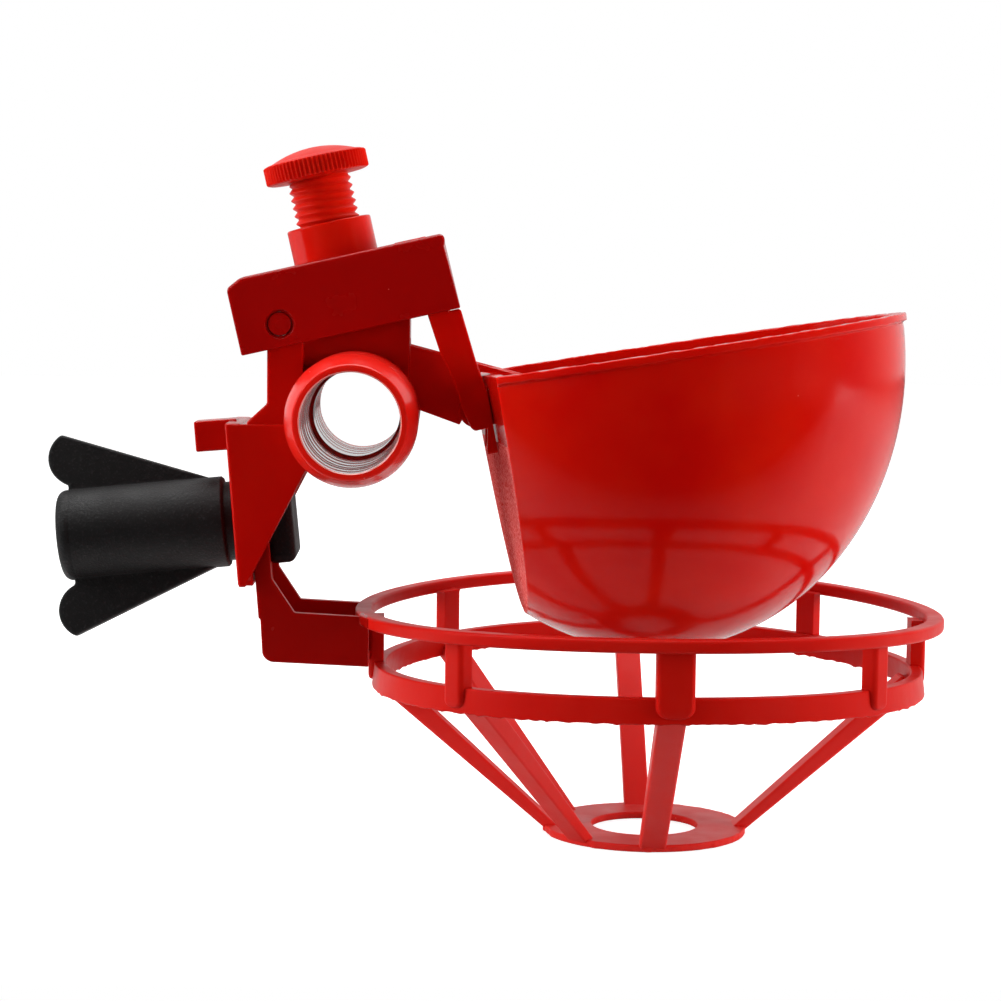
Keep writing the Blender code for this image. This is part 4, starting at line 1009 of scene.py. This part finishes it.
def build_guard_basket():
    low_z = LOW_RING_Z - LOW_RING_HEIGHT
    top_low = TOP_RING_Z - TOP_RING_HEIGHT
    low_r = LOW_RING_R + LOW_RING_FLARE
    top_ring = band(TOP_RING_R, TOP_RING_R, TOP_RING_WIDTH, TOP_RING_Z, top_low, RING_ROUND)
    basket = made("guard_basket_moulding", moved(top_ring, BASKET))

    # The lower ring and the disc keep a ragged rim of moulding flash
    low_ring = band(LOW_RING_R, low_r, LOW_RING_WIDTH, LOW_RING_Z, low_z, RING_ROUND / 2, FLASHED_SEGMENTS)
    for vertex in low_ring.verts:
        if vertex.co.z < low_z + RING_ROUND:
            ragged = max(0.0, rough((vertex.co.x, vertex.co.y, 0.0), RING_FLASH_SIZE, 11.0) + 0.1)
            vertex.co.z -= RING_FLASH * ragged
    disc = band(DISC_R, DISC_R, DISC_R - DISC_HOLE_R, DISC_THICK, 0.0, RING_ROUND / 2)
    for vertex in disc.verts:
        if hypot(vertex.co.x, vertex.co.y) > DISC_R - RING_ROUND:
            ragged = max(0.0, rough((vertex.co.x, vertex.co.y, 0.0), DISC_FLASH_SIZE, 23.0))
            vertex.co.x *= 1 + ragged * RING_FLASH / DISC_R
            vertex.co.y *= 1 + ragged * RING_FLASH / DISC_R
    solids = [moved(low_ring, BASKET), moved(disc, BASKET)]
    for number, angle in enumerate(POST_ANGLES):
        half = (FRONT_POST_WIDTH if number == 0 else POST_WIDTH) / 2
        solids.append(round_the_basket(post(half, low_z + POST_FOOT, top_low + RING_ROUND), angle))
    rib_top = low_r - RIB_THICK
    rib_foot = DISC_R - RIB_THICK / 4
    lean = (rib_top - rib_foot) / hypot(rib_top - rib_foot, low_z)
    rib_side = [(rib_foot, GAP), (rib_foot - RIB_THICK / lean * 0.9, GAP),
                (rib_top - RIB_THICK / lean * 0.45, low_z + RIB_THICK),
                (low_r - RIB_THICK / 4, low_z + RIB_THICK / 2), (low_r - RIB_THICK / 4, low_z + GAP)]
    for ring_angle, disc_angle in RIBS:
        rib = plate(rib_side, -RIB_WIDTH / 2, RIB_WIDTH / 2, RIB_EDGE)
        for vertex in rib.verts:
            share = (vertex.co.x - rib_foot) / (rib_top - rib_foot)
            turn = radians(disc_angle + (ring_angle - disc_angle) * share - 90)
            vertex.co = Matrix.Rotation(turn, 4, "Z") @ vertex.co
        solids.append(moved(rib, BASKET))
    join(basket, *solids)

    leg_left = CLAMP_PLATE + GAP
    half = BRACKET_HALF_WIDTH
    bar_low = ARM_BAR_TOP - ARM_BAR_HEIGHT
    bar_end = BASKET_X - sqrt((TOP_RING_R - TOP_RING_WIDTH / 2) ** 2 - half ** 2)
    leg_top = -CLAMP_TO_BOLT + LEG_TOP
    leg_low = ARM_BAR_TOP

    def leg_x(height, depth):
        return on_clamp_face(height) + leg_left + depth

    heel_x = leg_x(bar_low, 0.0) + BRACKET_HEEL
    side = [(leg_x(leg_top, 0.0), leg_top), (leg_x(leg_top, LEG_DEPTH), leg_top),
            (leg_x(leg_low + 2 * LEG_DEPTH, LEG_DEPTH), leg_low + 2 * LEG_DEPTH),
            (leg_x(leg_low, LEG_DEPTH) + 1.2 * LEG_DEPTH, leg_low), (bar_end, leg_low), (bar_end, bar_low)]
    side += arc((heel_x, bar_low + BRACKET_HEEL), BRACKET_HEEL, 270, 190, 12)
    side += [(leg_x(LEG_STEP_Z, LEG_STEP), LEG_STEP_Z), (leg_x(LEG_STEP_Z, 0.0), LEG_STEP_Z + LEG_STEP / 2)]
    bracket = made("bracket", plate(side, -half, half))
    web = BRACKET_WALL
    hollow = [(leg_x(leg_top + PAST, web), leg_top + PAST), (BASKET_X, leg_top + PAST),
              (BASKET_X, bar_low + web), (leg_x(bar_low + web, web) + web, bar_low + web),
              (leg_x(leg_low, web), leg_low)]
    cut(bracket, plate(hollow, web - half, half - web, 0.0),
        moved(rod((0, 0, 0), (leg_left + LEG_DEPTH + PAST, 0, 0), BOLT_R + GAP), BOLT))
    whole = bmesh.new()
    whole.from_mesh(bracket.data)
    bpy.data.objects.remove(bracket, do_unlink=True)
    join(basket, whole)

    # The rings have warped: lower at the ends along X, higher near and far
    for vertex in basket.data.vertices:
        x = vertex.co.x - BASKET_X
        share = min(max((hypot(x, vertex.co.y) - DISC_R) / (TOP_RING_R - DISC_R), 0.0), 1.0)
        if vertex.co.x < bar_end - TOP_RING_WIDTH:
            share *= max(0.0, 1.0 - (bar_end - vertex.co.x) / (bar_end - heel_x))
        vertex.co.z -= RING_WARP * share * cos(2 * atan2(vertex.co.y, x))
    leave_slots(basket, 3)
    for face in basket.data.polygons:
        # The bracket's near outer face takes a darker copy of the red: painted shade
        if face.center.x < bar_end and face.center.y < STEP - half:
            face.material_index = 1
        # Below the lower ring, the ribs and disc take a brighter copy of the red: painted light
        elif face.center.z < BASKET_Z + low_z - RING_ROUND:
            face.material_index = 2
    return polish(basket)


# Clamp bolt and wing knob

def build_clamp_bolt():
    half = BOLT_HEAD / 2
    head_x = CLAMP_PLATE + GAP + BRACKET_WALL + GAP + half * sin(BOLT_DROOP)
    head = block((head_x, -half, -half), (head_x + BOLT_HEAD_THICK, half, half), BOLT_CORNER, 5)
    bolt = made("clamp_bolt_moulding", moved(head, BOLT))
    join(bolt, moved(rod((head_x + BOLT_HEAD_THICK / 2, 0, 0), (-BOLT_REACH, 0, 0), BOLT_R, EDGE), BOLT))
    return polish(bolt)


def build_wing_knob():
    near = GAP + KNOB_COLLAR_R * sin(BOLT_DROOP)
    start = near + KNOB_COLLAR
    end = start + KNOB_LENGTH
    line = end - KNOB_GROOVE_PLACE
    profile = [(0.0, end - KNOB_GROOVE), (KNOB_R / 2, end)]
    profile += [(KNOB_R - KNOB_EDGE + x, end - KNOB_EDGE + z) for x, z in arc((0, 0), KNOB_EDGE, 90, 0, 10)]
    profile += [(KNOB_R, line + KNOB_GROOVE), (KNOB_R - KNOB_GROOVE / 2, line), (KNOB_R, line - KNOB_GROOVE)]
    profile += [(KNOB_R, start + EDGE), (KNOB_R - EDGE, start), (KNOB_COLLAR_R, start),
                (KNOB_COLLAR_R, near + FINE_EDGE), (KNOB_COLLAR_R - FINE_EDGE, near), (0.0, near)]
    knob = made("wing_knob_moulding", moved(lathe(profile, KNOB_SEGMENTS), KNOB))
    tip_z = end + WING_OVERHANG - WING_TIP_R
    wing = [(KNOB_R / 2, start + WING_ROOT), (KNOB_R - GAP, start + WING_ROOT)]
    wing += arc((WING_TIP_X, tip_z), WING_TIP_R, 28, 160, 24)
    wing += [(KNOB_R - KNOB_EDGE, end - KNOB_EDGE), (KNOB_R / 2, end - KNOB_EDGE)]
    half = WING_THICK / 2
    blades = [plate([(way * x, z) for x, z in wing], -half, half, WING_EDGE) for way in (1, -1)]
    join(knob, *[moved(blade, KNOB) for blade in blades])
    cut(knob, moved(rod((0, 0, -PAST), (0, 0, BOLT_REACH + PAST), BOLT_R + GAP), KNOB))
    return polish(knob)


# Finishes

def feed(target, values):
    """Set a node's inputs, or link them where the value is another node's output."""
    for key, value in values.items():
        if isinstance(value, bpy.types.NodeSocket):
            target.id_data.links.new(value, target.inputs[key])
        else:
            target.inputs[key].default_value = value


def node(beside, kind, values=None, **settings):
    """A shader node in a tree, or beside the socket of another node, with its settings, values and links."""
    added = beside.id_data.nodes.new("ShaderNode" + kind)
    for key, value in settings.items():
        setattr(added, key, value)
    feed(added, values or {})
    return added


def grain(place, scale, detail=2.0, roughness=0.5):
    """Noise over the piece, as a value from 0 to 1."""
    values = {"Vector": place, "Scale": scale, "Detail": detail, "Roughness": roughness}
    return node(place, "TexNoise", values).outputs["Fac"]


def between(value, low, high, start=0.0, end=1.0):
    """Bring a value between two limits, held at both ends."""
    values = {"Value": value, "From Min": low, "From Max": high, "To Min": start, "To Max": end}
    return node(value, "MapRange", values).outputs["Result"]


def blend_colours(share, first, second):
    values = {"Factor": share, MIX_FIRST: first, MIX_SECOND: second}
    return node(share, "Mix", values, data_type="RGBA").outputs[MIX_RESULT]


def maths(operation, first, second=0.0):
    return node(first, "Math", {0: first, 1: second}, operation=operation).outputs[0]


def bumped(height, strength, depth, rounding=None):
    """The surface's direction with bumps, and with edges rounded in the light where a radius is given."""
    values = {"Strength": strength, "Distance": depth, "Height": height}
    if rounding:
        values["Normal"] = node(height, "Bevel", {"Radius": rounding}, samples=4).outputs["Normal"]
    return node(height, "Bump", values).outputs["Normal"]


def new_finish(name):
    finish = bpy.data.materials.new(name)
    finish.use_nodes = True
    tree = finish.node_tree
    place = node(tree, "TexCoord").outputs["Object"]
    return finish, tree.nodes["Principled BSDF"], place


def dust(place, scale, size, share):
    """Small specks, one in some of the cells that fill the piece."""
    cells = node(place, "TexVoronoi", {"Vector": place, "Scale": scale})
    near = between(cells.outputs["Distance"], size, size * 0.6)
    chosen = node(place, "SeparateColor", {"Color": cells.outputs["Color"]}).outputs["Red"]
    return maths("MULTIPLY", near, maths("GREATER_THAN", chosen, 1 - share))


def red_plastic(name, colour, warm, roughness, peel, specks, gloss, coat=0.0):
    """Moulded plastic with a cloudy colour, a slight orange peel and pale specks."""
    finish, shader, place = new_finish(name)
    clouds = between(grain(place, CLOUD_GRAIN, 3.0), 0.35, 0.70)
    tint = blend_colours(clouds, colour, warm)
    pale = dust(place, DUST_GRAIN, DUST_SIZE, specks)
    dusty = maths("MULTIPLY", pale, 0.5)
    haze = between(grain(place, HAZE_GRAIN, 3.0), 0.10, 0.90, roughness * 0.70, roughness * 1.35)
    fine = maths("MULTIPLY", grain(place, FINE_GRAIN, 1.0), 0.15)
    height = maths("ADD", maths("ADD", grain(place, PEEL_GRAIN, 2.0), fine), dusty)
    feed(shader, {"Base Color": blend_colours(maths("MULTIPLY", pale, 0.55), tint, RED_PALE),
                  "Roughness": maths("MAXIMUM", haze, dusty),
                  "Normal": bumped(height, peel, PEEL_DEPTH, RED_ROUND),
                  "IOR": PLASTIC_IOR, "Specular IOR Level": gloss, "Coat Weight": coat,
                  "Coat Roughness": 0.12, "Subsurface Weight": 0.35,
                  "Subsurface Radius": (1.0, 0.06, 0.03), "Subsurface Scale": 0.0030})
    return finish


def frosted_red_painted_sheen():
    """The cup's back, left grainy by the mould. Its pale colours are painted sheen, as the finish has no specular
    reflection of its own.
    """
    finish, shader, place = new_finish("red_frosted_painted_sheen")
    cells = grain(place, FROST_GRAIN, 4.0, 0.65)
    # Grain between a pale and a paler red: painted sheen
    tint = blend_colours(between(cells, 0.42, 0.62), RED_GROUND_PAINTED_SHEEN, RED_GROUND_PALE_PAINTED_SHEEN)
    feed(shader, {"Base Color": tint, "Roughness": between(cells, 0.3, 0.7, 0.65, 0.85),
                  "Specular IOR Level": 0.0, "IOR": PLASTIC_IOR, "Normal": bumped(cells, 0.5, PIT_DEPTH)})
    return finish


def black_plastic():
    finish, shader, place = new_finish("black_sandblasted")
    pits = grain(place, PIT_GRAIN, 3.0, 0.6)
    wear = grain(place, WEAR_GRAIN, 2.0)
    feed(shader, {"Base Color": blend_colours(between(pits, 0.55, 0.80), BLACK, BLACK_WORN),
                  "Roughness": between(wear, 0.3, 0.7, 0.48, 0.60), "IOR": PLASTIC_IOR,
                  "Specular IOR Level": 0.36, "Normal": bumped(pits, 0.6, PIT_DEPTH, BLACK_ROUND)})
    return finish


def steel_wire():
    finish, shader, place = new_finish("spring_wire")
    drawn = grain(place, WIRE_GRAIN, 3.0)
    feed(shader, {"Base Color": blend_colours(drawn, STEEL, STEEL_DULL),
                  "Roughness": between(drawn, 0.3, 0.7, 0.22, 0.42), "Metallic": 1.0})
    return finish


def seal_rubber():
    finish, shader, place = new_finish("seal_rubber_matt")
    dull = grain(place, RUBBER_GRAIN, 3.0)
    feed(shader, {"Base Color": blend_colours(dull, RUBBER, RUBBER_DUSTY),
                  "Roughness": between(dull, 0.3, 0.7, 0.6, 0.8), "Normal": bumped(dull, 0.3, 0.0001)})
    return finish


# Studio

def build_world():
    """White all round, fading to dark on the photographer's side. The camera itself sees white."""
    world = bpy.data.worlds.new("studio")
    bpy.context.scene.world = world
    world.use_nodes = True
    tree = world.node_tree
    tree.nodes.clear()
    direction = node(tree, "TexCoord").outputs["Generated"]
    dark = Vector(DARK_TOWARDS).normalized()
    facing = node(tree, "VectorMath", {0: direction, 1: dark}, operation="DOT_PRODUCT")
    level = between(facing.outputs["Value"], BRIGHT_FROM, DARK_FROM, BRIGHT_SIDE, DARK_SIDE)
    shown = maths("MAXIMUM", level, node(tree, "LightPath").outputs["Is Camera Ray"])
    light = node(tree, "Background", {"Color": WHITE, "Strength": shown})
    node(tree, "OutputWorld", {"Surface": light.outputs["Background"]})


def softbox(name, place, aim, width, height, power, mirrored=True):
    """A rectangular lamp aimed at a point, its reflection left out where mirrored is false."""
    lamp = bpy.data.lights.new(name, "AREA")
    lamp.shape = "RECTANGLE"
    lamp.size = width
    lamp.size_y = height
    lamp.energy = power
    thing = placed(name, lamp)
    thing.visible_glossy = mirrored
    thing.location = place
    thing.rotation_euler = (Vector(aim) - Vector(place)).to_track_quat("-Z", "Y").to_euler()


def build_floor():
    """A pale floor, with painted shade in front of the basket. For the camera its own light lifts it to white
    outside the shadow."""
    shape = bmesh.new()
    bmesh.ops.create_grid(shape, x_segments=8, y_segments=8, size=FLOOR_HALF)
    bmesh.ops.translate(shape, vec=(BASKET_X, FLOOR_HALF - FLOOR_FRONT, BASKET_Z - STEP), verts=shape.verts)
    floor = made("floor", shape)
    finish, shader, place = new_finish("floor_paper")
    paper = blend_colours(grain(place, PAPER_GRAIN, 3.0), FLOOR, FLOOR_SHADED)
    depth = node(place, "SeparateXYZ", {"Vector": place}).outputs["Y"]
    # How far the painted shade has come, from none at FADE_FROM to full at the floor's front
    away = between(depth, -FADE_FROM, -FLOOR_FRONT)
    lift = between(depth, -FADE_FROM, -FLOOR_FRONT, FLOOR_LIFT, 1.0)
    to_camera = node(place, "LightPath").outputs["Is Camera Ray"]
    feed(shader, {"Base Color": blend_colours(away, paper, FLOOR_PAINTED_SHADE), "Roughness": 0.9,
                  "Emission Color": WHITE, "Emission Strength": maths("MULTIPLY", to_camera, lift)})
    floor.data.materials.append(finish)


def build_camera():
    """The photograph's view. The focal length and the vanishing point are in its pixels."""
    yaw = atan((IMAGE / 2 - VANISH_X) / FOCAL)
    pitch = atan((IMAGE / 2 - VANISH_Y) / FOCAL)
    lens = bpy.data.cameras.new("camera")
    lens.sensor_width = 36.0
    lens.lens = FOCAL * lens.sensor_width / IMAGE
    lens.clip_start = 0.01
    camera = placed("camera", lens)
    level_view = frame_at(CAMERA_PLACE, (QUARTER - pitch, 0, -yaw))
    camera.matrix_world = level_view @ Matrix.Rotation(CAMERA_ROLL, 4, "Z")
    bpy.context.scene.camera = camera


red = red_plastic("red_bright_plastic", RED, RED_WARM, 0.13, 0.08, 0.10, 0.26)
# The tee's ends' and spout's finish: a brighter copy of the red, painted light
tee_painted_light = red_plastic("red_tee_painted_light", RED_TEE_PAINTED_LIGHT, RED_TEE_PAINTED_LIGHT, 0.22, 0.14, 0.14, 0.45)
# The bore's finish: pale pink, a painted reflection
bore_painted_reflection = red_plastic("red_bore_painted_reflection", BORE_PAINTED_REFLECTION, BORE_PAINTED_REFLECTION, 0.16, 0.03, 0.06, 0.9, 1.0)
screw_red = red_plastic("red_screw_plastic", RED_WARM, RED_WARM, 0.40, 0.20, 0.06, 0.26)
# The hanger's finish: the bright red on a body-red part, painted light where the cup shades the arms
arm_painted_light = red_plastic("red_arm_painted_light", RED, RED_WARM, 0.20, 0.14, 0.14, 0.30)
body_red = red_plastic("red_body_plastic", RED_BODY, RED_BODY_WARM, 0.20, 0.14, 0.14, 0.30)
# The cap's and pin's finish: a darker copy of the red, painted shade
cap_painted_shade = red_plastic("red_cap_painted_shade", RED_CAP_PAINTED_SHADE, RED_CAP_PAINTED_SHADE, 0.24, 0.12, 0.22, 0.34)
basket_red = red_plastic("red_basket_plastic", RED_BASKET, RED_BASKET_PALE, 0.36, 0.14, 0.10, 0.12)
# The ribs' and disc's finish: a brighter copy of the red, painted light
rib_painted_light = red_plastic("red_rib_painted_light", RED_RIB_PAINTED_LIGHT, RED_RIB_PAINTED_LIGHT, 0.40, 0.14, 0.10, 0.36)
# The bracket's near face: a darker copy of the red, painted shade
bracket_painted_shade = red_plastic("red_bracket_painted_shade", RED_BRACKET_PAINTED_SHADE, RED_BRACKET_PAINTED_SHADE, 0.22, 0.14, 0.10, 0.34)
frosted_and_painted_sheen = frosted_red_painted_sheen()
black = black_plastic()

dress(build_valve_body(), "valve_body", "stand", "red_body", body_red, bore_painted_reflection, tee_painted_light)
dress(build_lever_cap(), "lever_cap", "lever", "red_body", cap_painted_shade, red)
dress(build_hinge_pin(), "hinge_pin", "lever", "red_body", cap_painted_shade)
dress(build_adjusting_screw(), "adjusting_screw", "screw", "red_bright", screw_red)
dress(build_cup_hanger(), "cup_hanger", "lever", "red_body", arm_painted_light)
dress(build_drinking_cup(), "drinking_cup", "lever", "red_bright", red, frosted_and_painted_sheen)
dress(build_guard_basket(), "guard_basket", "stand", "red_bright", basket_red, bracket_painted_shade, rib_painted_light)
dress(build_clamp_bolt(), "clamp_bolt", "bolt", "black_plastic", black)
dress(build_wing_knob(), "wing_knob", "knob", "black_plastic", black)
spring = build_lift_spring()
dress(spring, "lift_spring", "stand", "spring_steel", steel_wire())
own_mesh(spring)
rubber = seal_rubber()
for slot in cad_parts["valve_seal"].material_slots:
    slot.material = rubber

build_world()
softbox("overhead", (0.05, 0.15, 0.95), (0.08, 0.0, -0.02), 1.1, 0.7, 9.5)
softbox("left", (-0.75, -0.15, 0.55), (0.05, 0.0, 0.0), 0.5, 0.6, 2.5)
softbox("right_fill", (1.05, -0.24, 0.12), (0.08, 0.0, 0.0), 0.6, 0.6, 10.0, mirrored=False)
softbox("left_fill", (-0.95, -0.24, 0.20), (0.05, 0.0, 0.0), 0.6, 0.6, 8.0, mirrored=False)
softbox("right_front_fill", (0.75, -0.75, -0.02), (0.08, 0.0, 0.0), 0.5, 0.4, 1.2, mirrored=False)
softbox("left_front_fill", (-0.65, -0.80, -0.02), (0.06, 0.0, 0.0), 0.5, 0.4, 1.6, mirrored=False)
build_floor()
build_camera()
bpy.context.scene.view_settings.view_transform = "Standard"
